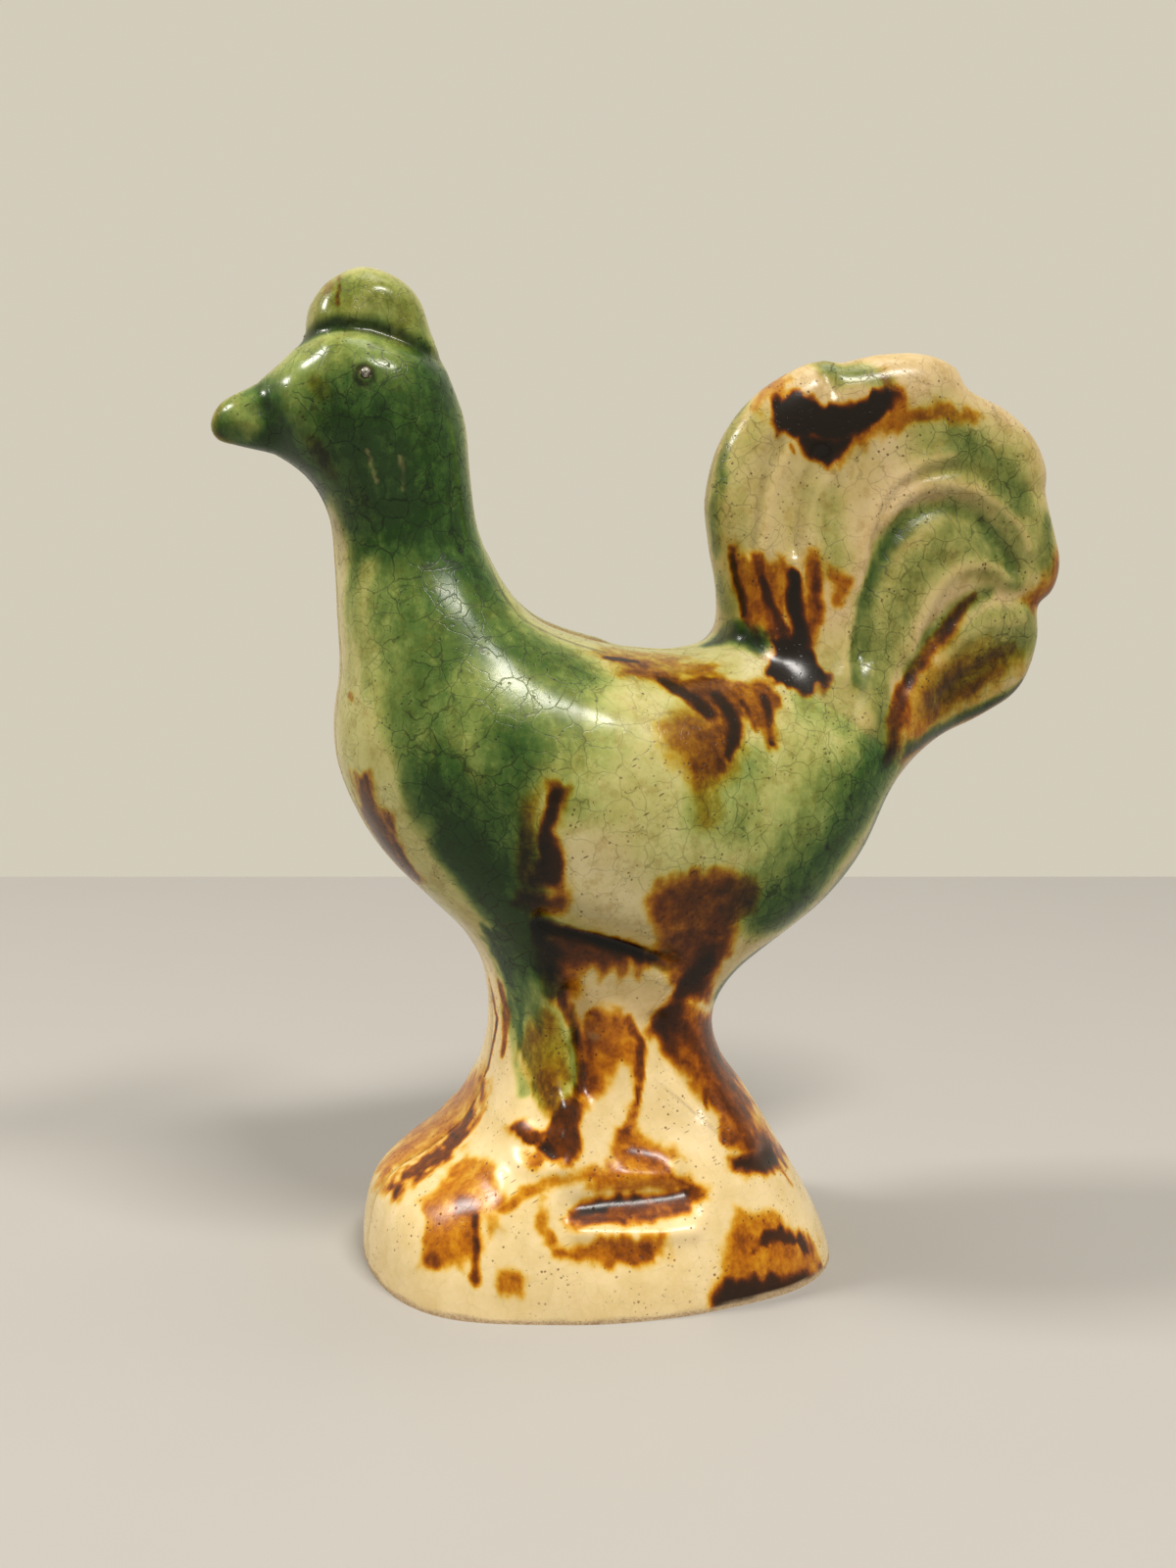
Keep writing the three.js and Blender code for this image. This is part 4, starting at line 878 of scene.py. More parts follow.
# green: how much there is, rather than a strength laid over
nearGreen = [
    (0.44, 40, [(300, 400), (350, 400), (400, 390)]), (0.4, 26, [(330, 305), (380, 300), (418, 325)]),
    (0.55, 8, [(312, 344), (345, 330), (385, 333), (430, 352)]), (0.42, 10, [(322, 366), (350, 358), (385, 362)]),
    (0.4, 18, [(225, 425), (245, 425)]), (0.5, 15, [(262, 402), (290, 396)]),
    (0.72, 22, [(288, 418), (302, 442), (326, 476)]), (0.8, 12, [(228, 442), (250, 452), (270, 458)]),
    (1.3, 18, [(278, 454), (298, 468), (318, 492)]), (1.04, 56, [(375, 450), (395, 490), (412, 540), (440, 600)]),
    (0.95, 30, [(445, 390), (452, 450), (462, 530), (480, 590)]), (0.8, 14, [(348, 480), (362, 520), (380, 560)]),
    (0.45, 30, [(410, 600), (408, 660), (412, 720)]), (0.62, 42, [(450, 620), (510, 650), (575, 690)]),
    (0.42, 36, [(490, 720), (545, 740), (590, 730)]), (0.6, 28, [(440, 650), (438, 720), (440, 780)]),
    (0.03, 30, [(338, 528, 16), (336, 575, 26), (336, 640), (338, 700), (346, 790)]),
    (0.26, 12, [(376, 575), (372, 630), (374, 700)]), (0.03, 18, [(346, 556), (350, 600), (348, 660)]),
    (0.55, 30, [(432, 740), (440, 780)]), (0.95, 34, [(450, 800), (480, 840), (510, 890)]),
    (1.25, 26, [(470, 870), (510, 925), (540, 975, 22), (560, 1010, 14)]),
    (0.75, 28, [(525, 760), (515, 830), (528, 890)]), (0.32, 26, [(620, 740), (600, 790), (604, 830)]),
    (0.13, 50, [(660, 790), (700, 850), (730, 870)]), (0.02, 36, [(605, 880), (620, 925), (650, 930)]),
    (0.1, 30, [(640, 720), (700, 770)]), (0.2, 40, [(850, 695), (830, 760), (790, 820), (745, 850)]),
    (0.46, 28, [(846, 810), (816, 860), (775, 910)]), (0.85, 30, [(893, 790), (856, 862), (800, 925)]),
    (1.15, 16, [(908, 825), (872, 888), (822, 935), (770, 975), (738, 1008)]), (0.36, 20, [(770, 790), (760, 850)]),
    (0.3, 22, [(720, 815), (745, 830)]), (0.9, 12, [(528, 985), (540, 1020), (548, 1060), (549, 1085)]),
    (0.5, 9, [(562, 1035), (564, 1090)]), (0.35, 7, [(521, 1045), (526, 1080), (533, 1115)]),
    (0.9, 10, [(738, 1010), (735, 1024)]),
]
tailGreenAndShade = [
    (0.09, 46, [(790, 470), (800, 540), (850, 470)]), (0.17, 12, [(750, 560), (753, 480), (772, 428)]),
    (0.3, 34, [(960, 450), (1020, 480), (1050, 560)]), (0.4, 24, [(905, 650), (930, 590), (970, 550), (1010, 565)]),
    (0.4, 14, [(893, 690), (900, 655)]),
    (0.56, 10, [(876, 690), (877, 645), (882, 608), (894, 577), (908, 548), (925, 531)]),
    (0.36, 9, [(925, 531), (946, 520), (968, 518), (990, 525)]),
    (0.45, 10, [(1000, 535), (1012, 548), (1026, 570), (1036, 592)]),
    (0.4, 9, [(925, 684), (940, 657), (959, 636), (980, 619), (1005, 606)]),
    (0.5, 14, [(975, 450), (1010, 470), (1038, 510)]), (0.55, 7, [(731, 560), (735, 480), (760, 415)]),
    (1.0, 11, [(727, 655), (745, 645), (772, 655)]), (0.34, 16, [(880, 645), (893, 700), (902, 745)]),
    (0.42, 12, [(842, 372), (860, 383), (878, 379)]), (0.4, 8, [(890, 388), (905, 388)]),
    (0.45, 10, [(1068, 530), (1068, 575)]), (0.4, 14, [(735, 600), (742, 620)]), (0.22, 16, [(840, 510), (852, 570)]),
    (0.3, 12, [(820, 720), (860, 740)]), (0.4, 24, [(955, 710), (1000, 680), (1045, 650)]),
    # the last stroke here is painted shade along the tail's underside edge, laid as dark green
    (0.38, 14, [(975, 660), (1010, 640), (1045, 632)]), (0.8, 7, [(925, 765), (960, 745), (1005, 722), (1045, 695)]),
]
# dark lines where glaze and dirt gather, with painted shade in the barb grooves, under the wing and along the back seam
creasesAndPaintedShade = [
    # painted shade in the two barb grooves, here and at the start of the next line, where the glaze also pools
    (0.16, 3.5, [(768, 556), (773, 510), (780, 480), (792, 458)]),
    (0.16, 3.5, [(811, 552), (814, 520), (821, 495), (836, 472)]), (0.3, 22, [(700, 742), (714, 775)]),
    # painted shade in a broad band under the wing
    (0.2, 20, [(590, 926), (638, 940), (696, 956)]),
    (0.62, 7, combGroove),
    # painted shadow under the far half's proud edge along the back, over glaze gathered in the seam
    (0.6, 3, [(500, 578), (513, 607), (531, 631), (557, 645), (587, 657), (618, 666)]),
    (0.8, 6, [(558, 941), (572, 946), (600, 953), (630, 962)]), (1.1, 7, [(612, 957), (640, 965), (668, 975)]),
    (0.6, 5, [(550, 990), (574, 1025), (587, 1055), (592, 1084, 7), (588, 1112), (584, 1136)]),
    (0.6, 6, [(735, 655), (750, 648), (772, 655)]), (0.28, 6, [(905, 780), (912, 740), (925, 695)]),
    (0.5, 7, [(262, 420), (276, 416), (284, 424)]), (0.4, 5, [(264, 392), (270, 404)]),
    (1.0, 3, [(363, 382), (366, 375), (373, 373), (380, 378), (381, 386), (376, 392), (368, 392), (363, 386),
        (363, 382)]),
    (0.9, 2.5, [(843, 862), (843, 865)]), (0.8, 2, [(726, 576), (728, 590)]),
    (0.2, 8, [(590, 1230), (623, 1225), (662, 1222), (696, 1217)]), (0.4, 2.2, [(658, 945), (700, 950), (735, 953)]),
    (0.35, 2.0, [(650, 940), (675, 960), (703, 980)]), (0.35, 1.6, [(665, 1100), (700, 1128), (735, 1160)]),
    (0.28, 2.5, [(500, 1040), (540, 1034), (580, 1038)]), (0.28, 2.5, [(660, 1035), (690, 1026), (726, 1030)]),
]
# pale drips and places where the glaze ran thin, with painted highlights on the tail's barbs and ribs and two painted
# reflections on the neck
paleDripsAndPaintedGlints = [
    # painted highlights along the barbs' ridges, where the glaze also runs thin
    (0.3, 3, [(781, 552), (785, 520), (793, 490), (804, 465)]),
    # the second barb ridge, then painted reflections of a lamp on the neck, here and on the next line
    (0.3, 3, [(824, 552), (828, 530), (835, 500), (848, 482)]), (0.5, 1.5, [(375, 458), (379, 476), (384, 492)]),
    (0.5, 1.5, [(408, 466), (411, 484), (413, 500)]), (0.3, 4, [(372, 600), (374, 650)]),
    # pale lines on the tail's ribs: thin glaze on their crests, partly painted highlight
    (0.5, 4, [(860, 700), (864, 672), (876, 596), (880, 553), (891, 519), (913, 491), (943, 470), (971, 463)]),
    (0.6, 3.5, [(900, 534), (919, 510), (943, 497), (968, 493), (998, 501), (1023, 516), (1041, 537), (1050, 559)]),
    (0.5, 3.5, innerRib),
    (0.4, 5, [(957, 678), (981, 652), (1011, 637), (1043, 631)]), (0.5, 4, [(604, 1054), (608, 1058)]),
]


def strokeOver(points, places, widths, soft):
    # how strongly one stroke covers each place, by its distance from the stroke in space
    cover = np.zeros(len(points))
    reach = max(widths) * (1 + soft)
    close = np.flatnonzero(((points > places.min(0) - reach) & (points < places.max(0) + reach)).all(1))
    p = points[close]
    best = np.zeros(len(p))
    for a, b, wa, wb in zip(places[:-1], places[1:], widths[:-1], widths[1:]):
        along = b - a
        t = np.clip(((p - a) @ along) / max(1e-9, along @ along), 0, 1)
        away = np.linalg.norm(p - a - t[:, None] * along, axis=1) / (wa + (wb - wa) * t)
        np.maximum(best, 1 - smooth(1 - soft, 1 + soft, away), out=best)
    cover[close] = best
    return cover


def toPixels(points):
    away = points - eyePoint
    depth = away @ ahead
    across = photo["width"] / 2 + photo["focal"] * (away @ rightward) / depth
    return across, photo["height"] / 2 - photo["focal"] * (away @ upward) / depth


def splashIn(points, level, splashes, fray):
    # a splash is darker inside and ends in a frayed edge a few pixels wide
    across, down = toPixels(points)
    level = level.copy()
    for edge, core, depth, ring in splashes:
        corners = np.array(ring + ring[:1], float)
        low, high = corners.min(0) - 16, corners.max(0) + 16
        close = np.flatnonzero((across > low[0]) & (across < high[0]) & (down > low[1]) & (down < high[1]))
        u, v = across[close], down[close]
        inward = distanceToLine(u, v, corners) * np.where(isInside(u, v, corners[:-1]), 1, -1) + fray[close]
        fill = smooth(-paintLook["splashEdge"], paintLook["splashEdge"], inward)
        level[close] = np.maximum(level[close], fill * lerp(edge, core, smooth(0, depth, inward)))
    return level


def coverWith(points, strokes, soft, asLevel=False):
    for strength, radius, marks in strokes:
        marks = [tuple(mark) + (radius,) * (3 - len(mark)) for mark in marks]
        widths = [mark[2] / pixelsPerMm for mark in marks]
        places = onSkin([mark[:2] for mark in marks], skins[-1][0])
        yield strength, (1 if asLevel else strength) * strokeOver(points, places, widths, soft)


def washOver(points, level, strokes, soft):
    # each stroke brings the glaze to its own level where it covers
    for value, cover in coverWith(points, strokes, soft, True):
        level = level + (value - level) * cover
    return level


def splashOver(points, level, strokes, soft):
    for strength, cover in coverWith(points, strokes, soft):
        level = np.maximum(level, cover)
    return level


# How far brush marks wander, in mm, and how softly they end: splashes in pixels, strokes as a share of their width
paintLook = dict(broad=2.2, broadSpan=9, headSteady=0.4, steadyFrom=(88, 104), waver=0.5, waverSpan=3.2, fray=0.24,
                 fraySpan=1.1, feather=4.8, featherSpans=(1.3, 0.7), drawnOut=0.35, splashEdge=6, brownSoft=0.6,
                 greenSoft=0.7, tailSoft=0.9, creaseSoft=0.6, runStrength=0.9)
# A thin wash of green over everything, over the body, and over neck and head, and where the last two fade in
washLook = dict(everywhere=0.03, body=0.1, bodyFoot=(40, 60), bodyRear=(22, 8), head=0.08, headFoot=(86, 100),
                headRear=(20, 12))
# Dirt in the mould line, glaze thin on sharp rims and pooled in hollows, and the foot's bare edge
wearLook = dict(seamWidth=0.32, seamFront=0.75, seamBack=0.6, thinWander=0.4, rimThin=0.45, rim=(1.1, 0.3),
                tailFrom=(11, 20), tailFoot=(70, 78), combFoot=(129, 132), greenPool=0.35, brownPool=0.25,
                thinTakes=0.25, bare=(0.9, 0.35), bareWaver=0.35, bareSpan=3)
# The picture doesn't show the far side: it has the same splashes, set elsewhere and drawn out differently, in mm
farLook = dict(shift=(5, 0, -3), sway=6, swaySpan=17, belowHead=(102, 86), behind=(0, 12), offSeam=(1, 9),
               moundTop=40, moundShare=1.4)


def sway(points, amount, span, start):
    return amount * np.stack([clayNoise(points + start * n, span) for n in (1, 2, 3)], -1)


def paintSide(points, wash):
    # the wandering edge of a splash comes from reading the strokes at places moved a little by noise
    look = paintLook
    moved = points + sway(points, look["waver"], look["waverSpan"], 37)
    moved = moved + sway(points, look["fray"], look["fraySpan"], 59)
    steady = lerp(1, look["headSteady"], smooth(*look["steadyFrom"], points[:, 2]))[:, None]
    broad = points + sway(points, look["broad"], look["broadSpan"], 11) * steady
    drawn = points * (1, 1, look["drawnOut"])
    wide, narrow = look["featherSpans"]
    fray = look["feather"] * (clayNoise(drawn, wide) + 0.5 * clayNoise(drawn + 17, narrow))
    green = washOver(broad, wash, nearGreen, look["greenSoft"])
    # the tail's green includes a stroke of painted shade under its edge
    green = washOver(moved, green, tailGreenAndShade, look["tailSoft"])
    green = splashIn(moved, green, greenSplashes, fray)
    brown = splashIn(moved, np.zeros(len(points)), brownSplashes, fray)
    # the brown strokes include painted shade under the tail's edge
    runs = splashOver(moved, 0 * brown, brownRunsAndShade, look["brownSoft"])
    return green, 1 - (1 - brown) * (1 - look["runStrength"] * runs)


def farPlaces(points):
    # where on the near side the far side's paint is read
    mirrored = points * (1, -1, 1)
    x, y, z = mirrored.T
    free = np.clip(smooth(*farLook["belowHead"], z) + smooth(*farLook["behind"], x), 0, 1)
    free = free * smooth(*farLook["offSeam"], -y)
    move = sway(mirrored + 400, farLook["sway"], farLook["swaySpan"], 23) + farLook["shift"]
    onMound = np.where(z < farLook["moundTop"], farLook["moundShare"], 1)[:, None]
    mirrored = mirrored + move * free[:, None] * onMound
    mirrored[:, 1] = -np.sqrt(np.maximum(sampleGrid(skins[-1][0], mirrored[:, 0], mirrored[:, 2]), 0))
    return mirrored


def paintLayers(points, outward):
    x, y, z = points.T
    toEye = eyePoint - points
    facing = (outward * toEye).sum(1) / np.linalg.norm(toEye, axis=1)
    isFar = smooth(0.02, -0.3, facing)
    wash = np.full(len(points), washLook["everywhere"])
    for part in ("body", "head"):
        wash += washLook[part] * smooth(*washLook[part + "Foot"], z) * smooth(*washLook[part + "Rear"], x)
    green, brown = np.zeros(len(points)), np.zeros(len(points))
    near, far = isFar < 1, isFar > 0
    green[near], brown[near] = paintSide(points[near], wash[near])
    for layer, other in zip((green, brown), paintSide(farPlaces(points[far]), wash[far])):
        layer[far] += (other - layer[far]) * isFar[far]
    folded = points * (1, -1, 1)
    folded[:, 1] = -np.abs(y)
    # dark creases, with painted shade under the wing, in the barb grooves and along the back seam
    crease = splashOver(folded, 0 * x, creasesAndPaintedShade, paintLook["creaseSoft"])
    front, back = seamRuns(x, z)
    seam = np.exp(-(y / wearLook["seamWidth"]) ** 2) * (wearLook["seamFront"] * front + wearLook["seamBack"] * back)
    crease = np.maximum(crease, seam * (0.75 + 0.25 * clayNoise(points, 6)))
    # pale drips and thin glaze, together with the painted glints on the tail and neck
    dripAndGlintPlaces = folded + sway(points, wearLook["thinWander"], paintLook["waverSpan"], 37)
    thin = splashOver(dripAndGlintPlaces, 0 * x, paleDripsAndPaintedGlints, paintLook["creaseSoft"])
    rim = smooth(*wearLook["rim"], distanceToLine(x, z, closedOutline))
    sharp = smooth(*wearLook["tailFrom"], x) * smooth(*wearLook["tailFoot"], z) + smooth(*wearLook["combFoot"], z)
    thin = np.maximum(thin, sharp * rim * wearLook["rimThin"])
    # glaze runs off high places and gathers in low ones
    pooled = np.clip(-sampleGrid(relief, x, z), -1, 1.5)
    green = np.clip(green * (1 + wearLook["greenPool"] * pooled) - wearLook["thinTakes"] * thin * green, 0, 1.3)
    brown = np.clip(brown * (1 + wearLook["brownPool"] * pooled), 0, 1.2)
    ragged = z + wearLook["bareWaver"] * clayNoise(points, wearLook["bareSpan"])
    bare = smooth(*wearLook["bare"], ragged)
    return dict(green=green, brown=brown, crease=np.clip(crease, 0, 1), thin=np.clip(thin, 0, 1), bare=bare)


class Level:
    # a value in a glaze's node tree, so that glaze maths reads as plain sums
    def __init__(self, sheet, socket):
        self.sheet, self.socket = sheet, socket

    def maths(self, operation, *others, clamp=False):
        return self.sheet.node("ShaderNodeMath", dict(operation=operation, use_clamp=clamp), (self, *others))

    def __add__(self, other):
        return self.maths("ADD", other)

    def __mul__(self, other):
        return self.maths("MULTIPLY", other)

    def __sub__(self, other):
        return self.maths("SUBTRACT", other)

    def __rsub__(self, other):
        return self.sheet.node("ShaderNodeMath", dict(operation="SUBTRACT"), (other, self))

    __radd__ = __add__
    __rmul__ = __mul__

    def clamped(self):
        return self.maths("MULTIPLY", 1, clamp=True)

    def between(self, low, high):
        # 0 at low and 1 at high, eased
        settings = dict(interpolation_type="SMOOTHSTEP")
        return self.sheet.node("ShaderNodeMapRange", settings, {"Value": self, "From Min": low, "From Max": high})


class GlazeSheet:
    # one material or world, and the one way of adding nodes to it
    def __init__(self, owner):
        self.owner = owner
        owner.use_nodes = True
        self.tree = owner.node_tree
        self.tree.nodes.clear()

    def node(self, kind, settings=None, values=(), out=0):
        node = self.tree.nodes.new(kind)
        for setting, value in (settings or {}).items():
            if setting == "stops":
                ramp = node.color_ramp
                while len(ramp.elements) < len(value):
                    ramp.elements.new(0.5)
                for element, (place, colour) in zip(ramp.elements, value):
                    element.position = place
                    element.color = (*colour, 1)
            else:
                setattr(node, setting, value)
        for key, value in values.items() if isinstance(values, dict) else enumerate(values):
            if isinstance(value, Level):
                self.tree.links.new(value.socket, node.inputs[key])
            else:
                node.inputs[key].default_value = value
        return Level(self, node.outputs[out]) if node.outputs else None

    def blend(self, share, first, second, kind="MIX"):
        # colours only: first where share is 0, second where it is 1
        first, second = (c if isinstance(c, Level) else (*c, 1) for c in (first, second))
        return self.node("ShaderNodeMix", dict(data_type="RGBA", blend_type=kind), {0: share, 6: first, 7: second}, 2)

    def vectors(self, operation, first, second):
        return self.node("ShaderNodeVectorMath", dict(operation=operation), {0: first, 1: second})

    def places(self, scale=(1, 1, 1)):
        # the mesh's own places in mm, stretched
        return self.vectors("MULTIPLY", self.node("ShaderNodeTexCoord", out="Object"), tuple(s / mm for s in scale))

    def noise(self, places, span, detail=2, roughness=0.5, out=0):
        values = {"Vector": places, "Scale": 1 / span, "Detail": detail, "Roughness": roughness}
        return self.node("ShaderNodeTexNoise", dict(noise_dimensions="3D"), values, out)

    def cells(self, places, span, feature="F1"):
        # distance in mm from the nearest of scattered points, or from the edges between their cells
        return span * self.node("ShaderNodeTexVoronoi", dict(feature=feature), {"Vector": places, "Scale": 1 / span})

    def painted(self, layer):
        return self.node("ShaderNodeAttribute", dict(attribute_name=layer), out="Fac")

    def finish(self, sockets, height=None, strength=1):
        if height is not None:
            bump = {"Strength": strength, "Distance": mm, "Height": height}
            sockets["Normal"] = self.node("ShaderNodeBump", None, bump)
        shader = self.node("ShaderNodeBsdfPrincipled", None, sockets)
        self.node("ShaderNodeOutputMaterial", None, {"Surface": shader})
        return self.owner


# The two coloured glazes, as what they leave of the cream under them
greenStops = [(0, (1, 1, 1)), (0.12, (0.80, 0.89, 0.62)), (0.25, (0.54, 0.70, 0.36)), (0.4, (0.29, 0.45, 0.19)),
              (0.57, (0.145, 0.28, 0.10)), (0.78, (0.062, 0.175, 0.052)), (1, (0.024, 0.088, 0.026))]
brownStops = [(0, (1, 1, 1)), (0.1, (0.96, 0.85, 0.52)), (0.2, (0.84, 0.60, 0.14)), (0.3, (0.70, 0.38, 0.02)),
              (0.4, (0.56, 0.23, 0.006)), (0.5, (0.36, 0.12, 0.003)), (0.62, (0.18, 0.05, 0.002)),
              (0.78, (0.06, 0.02, 0.005)), (1, (0.016, 0.011, 0.011))]
# the base's cream is lighter than the bird's: partly painted light on the up-facing mound and painted shade on the
# bird's body
glazeLooks = {
    "body_glaze": dict(cream=(0.66, 0.56, 0.31), rough=0.17, grime=0.75, craze=0.72, specks=0.8, scratches=0.9,
                       dirt=(0.20, 0.13, 0.08)),
    "tail_glaze": dict(cream=(0.60, 0.445, 0.25), rough=0.19, grime=0.7, craze=0.8, specks=0.85, scratches=0.7,
                       dirt=(0.20, 0.13, 0.08)),
    "base_glaze": dict(cream=(0.91, 0.70, 0.40), rough=0.21, grime=0.25, craze=0.25, specks=0.9, scratches=0.6,
                       dirt=(0.26, 0.17, 0.10)),
    "comb_glaze": dict(cream=(0.62, 0.53, 0.35), rough=0.18, grime=0.6, craze=0.6, specks=0.5, scratches=0.3,
                       dirt=(0.20, 0.13, 0.08)),
}
# Spans of the glaze's patterns in mm; a crack has a span and a width
glazeSpans = dict(streaks=1.5, clouds=5, fine=0.7, mottle=1.6, depth=3.2, grime=2.6, cracks=((3.9, 0.07), (1.9, 0.052)),
                  wander=1 / 0.35, patches=9, pinholes=1.15, grit=0.7, dashes=1.0, grain=0.35, peel=1.4, swell=4.5)
# Where in its pattern each mark begins and is full; patches are where the marks gather
glazeRanges = dict(clouds=(0.3, 0.75), grime=(0.46, 0.68), wideCracks=(0.25, 0.45), fineCracks=(0.46, 0.56),
                   pinholes=(0.1, 0.24), pinholePatches=(0.42, 0.6), grit=(0.07, 0.15), gritPatches=(0.5, 0.62),
                   dashes=(0.07, 0.15), dashPatches=(0.46, 0.58), grain=(0.3, 0.7))
# What a mark leaves of the colour under it; where the glaze ran thin, and on the painted glints, its own colour shows
markTints = dict(clouds=(0.9, 0.86, 0.74), grime=(0.74, 0.66, 0.5), cracks=(0.15, 0.15, 0.09),
                 lines=(0.09, 0.075, 0.05), thin=(0.62, 0.47, 0.2))
# How high each stands in mm, and how much rougher it is
markHeights = dict(peel=0.012, swell=0.05, cracks=-0.012, specks=-0.03, lines=-0.05, clay=0.05)
markRoughness = dict(clouds=0.07, soil=0.3, cracks=0.2, clay=0.6)
# Fired, unglazed earthenware: inner walls, seam clay and the foot
clayLook = dict(light=(0.60, 0.45, 0.27), dark=(0.36, 0.24, 0.13), specks=(0.12, 0.07, 0.04), rough=0.78)


def glazeMaterial(slot, look):
    sheet = GlazeSheet(bpy.data.materials.new(slot.replace("_", "") + "Coat"))
    here, spans, ranges, tints = sheet.places(), glazeSpans, glazeRanges, markTints
    green, brown, crease, thin, bare = (sheet.painted(layer) for layer in ("green", "brown", "crease", "thin", "bare"))

    # both glazes ran downwards, so their unevenness is drawn out in streaks
    runs = sheet.noise(sheet.places((1, 1, 0.3)), spans["streaks"], 3, 0.6)
    clouds = sheet.noise(here, spans["clouds"], 3, 0.55)
    fine = sheet.noise(here, spans["fine"], 2, 0.6)
    mottle = sheet.noise(here, spans["mottle"], 4, 0.7)
    green = (green * (0.75 * runs + 0.4 * clouds + 0.9 * mottle - 0.02) + 0.08 * (fine - 0.5)).clamped()
    edge = (brown * (1 - brown)).maths("MAXIMUM", 0) * 4
    depth = sheet.noise(here, spans["depth"], 3, 0.6)
    brown = (brown + edge * (0.32 * (runs - 0.5) + 0.18 * (fine - 0.5) + 0.65 * (depth - 0.5))).clamped()
    # below the waist the lighter base cream, above it each piece's darker cream: partly painted light and painted shade
    aboveWaist = sheet.node("ShaderNodeSeparateXYZ", None, (here,), 2).between(f.jointHeight, f.jointHeight + 18)
    cream = sheet.blend(aboveWaist, glazeLooks["base_glaze"]["cream"], look["cream"])
    cream = sheet.blend(clouds.between(*ranges["clouds"]), cream, tints["clouds"], "MULTIPLY")
    grime = sheet.noise(here, spans["grime"], 4, 0.7).between(*ranges["grime"])
    grime = grime * (look["grime"] * (0.35 + 0.65 * aboveWaist))
    cream = sheet.blend(grime, cream, tints["grime"], "MULTIPLY")
    greenOver = sheet.node("ShaderNodeValToRGB", dict(stops=greenStops), {0: green})
    brownOver = sheet.node("ShaderNodeValToRGB", dict(stops=brownStops), {0: brown})
    colour = sheet.blend(1, sheet.blend(1, cream, greenOver, "MULTIPLY"), brownOver, "MULTIPLY")
    # thin glaze lightens the colour, and so do the painted glints and highlights carried in the same layer
    colour = sheet.blend(thin * 0.45, colour, tints["thin"])

    # crazing: fine cracks with dirt in them, strongest where the glaze is thick
    wander = sheet.vectors("MULTIPLY", sheet.noise(here, spans["wander"], out="Color"), (2.2, 2.2, 2.2))
    bent = sheet.vectors("ADD", here, wander)
    wide, narrow = (1 - sheet.cells(bent, span, "DISTANCE_TO_EDGE").between(width * 0.4, width * 1.5)
                    for span, width in spans["cracks"])
    patch = sheet.noise(here, spans["patches"], 1)
    thick = (0.35 + green).clamped() * (1 - bare) * (1 - 0.7 * brown)
    narrow = narrow * patch.between(*ranges["fineCracks"]) * 0.7
    crack = (wide * patch.between(*ranges["wideCracks"])).maths("MAXIMUM", narrow) * thick
    colour = sheet.blend(crack * look["craze"], colour, tints["cracks"], "MULTIPLY")

    # dirt: specks in pinholes, short scratches, and lines where glaze gathers, which also carry painted shade
    speck = 1 - (sheet.cells(here, spans["pinholes"]) + 0.3 * (fine - 0.5)).between(*ranges["pinholes"])
    speck = speck * sheet.noise(here, 6, 2).between(*ranges["pinholePatches"])
    grit = 1 - sheet.cells(bent, spans["grit"]).between(*ranges["grit"])
    grit = grit * sheet.noise(here, 4.5, 2).between(*ranges["gritPatches"])
    speck = speck.maths("MAXIMUM", grit * 0.85)
    tilted = sheet.node("ShaderNodeVectorRotate", dict(rotation_type="Y_AXIS"), {"Vector": here, "Angle": 0.45})
    dash = sheet.cells(sheet.vectors("MULTIPLY", tilted, (0.2, 1, 1)), spans["dashes"])
    scratch = (1 - dash.between(*ranges["dashes"])) * sheet.noise(here, 12, 1).between(*ranges["dashPatches"])
    soil = (speck * look["specks"]).maths("MAXIMUM", scratch * look["scratches"])
    colour = sheet.blend(soil, colour, look["dirt"], "MULTIPLY")
    # crease lines darken the colour, both where glaze and dirt gather and where shade is painted
    lines = (crease * (0.75 + 0.5 * runs)).clamped()
    colour = sheet.blend(lines * 0.88, colour, tints["lines"], "MULTIPLY")

    # bare clay along the foot
    grain = sheet.noise(here, spans["grain"], 3, 0.7)
    clay = sheet.blend(grain.between(*ranges["grain"]), clayLook["light"], clayLook["dark"])
    bareHere = (bare + 0.5 * (grain - 0.5) * bare).clamped()
    colour = sheet.blend(bareHere, colour, clay)
    peel, swell = sheet.noise(here, spans["peel"], 2), sheet.noise(here, spans["swell"], 1)
    marks = dict(clouds=clouds, soil=soil, cracks=crack, clay=bareHere)
    rough = sum((share * marks[mark] for mark, share in markRoughness.items()), look["rough"])
    marks = dict(peel=peel, swell=swell, cracks=crack, specks=speck, lines=lines, clay=grain * bareHere)
    height = sum(share * marks[mark] for mark, share in markHeights.items())
    return sheet.finish({"Base Color": colour, "Roughness": rough.clamped(), "IOR": 1.33}, height)


def clayMaterial():
    sheet = GlazeSheet(bpy.data.materials.new("bareClay"))
    here = sheet.places()
    grain = sheet.noise(here, 0.4, 4, 0.7)
    clouds = sheet.noise(here, 8, 2)
    colour = sheet.blend((0.5 * grain + 0.5 * clouds).between(0.35, 0.65), clayLook["light"], clayLook["dark"])
    colour = sheet.blend(1 - sheet.cells(here, 2).between(0.1, 0.35), colour, clayLook["specks"])
    rough = clayLook["rough"] + 0.15 * (grain - 0.5)
    return sheet.finish({"Base Color": colour, "Roughness": rough}, 0.06 * grain + 0.25 * sheet.noise(here, 3, 2), 0.8)


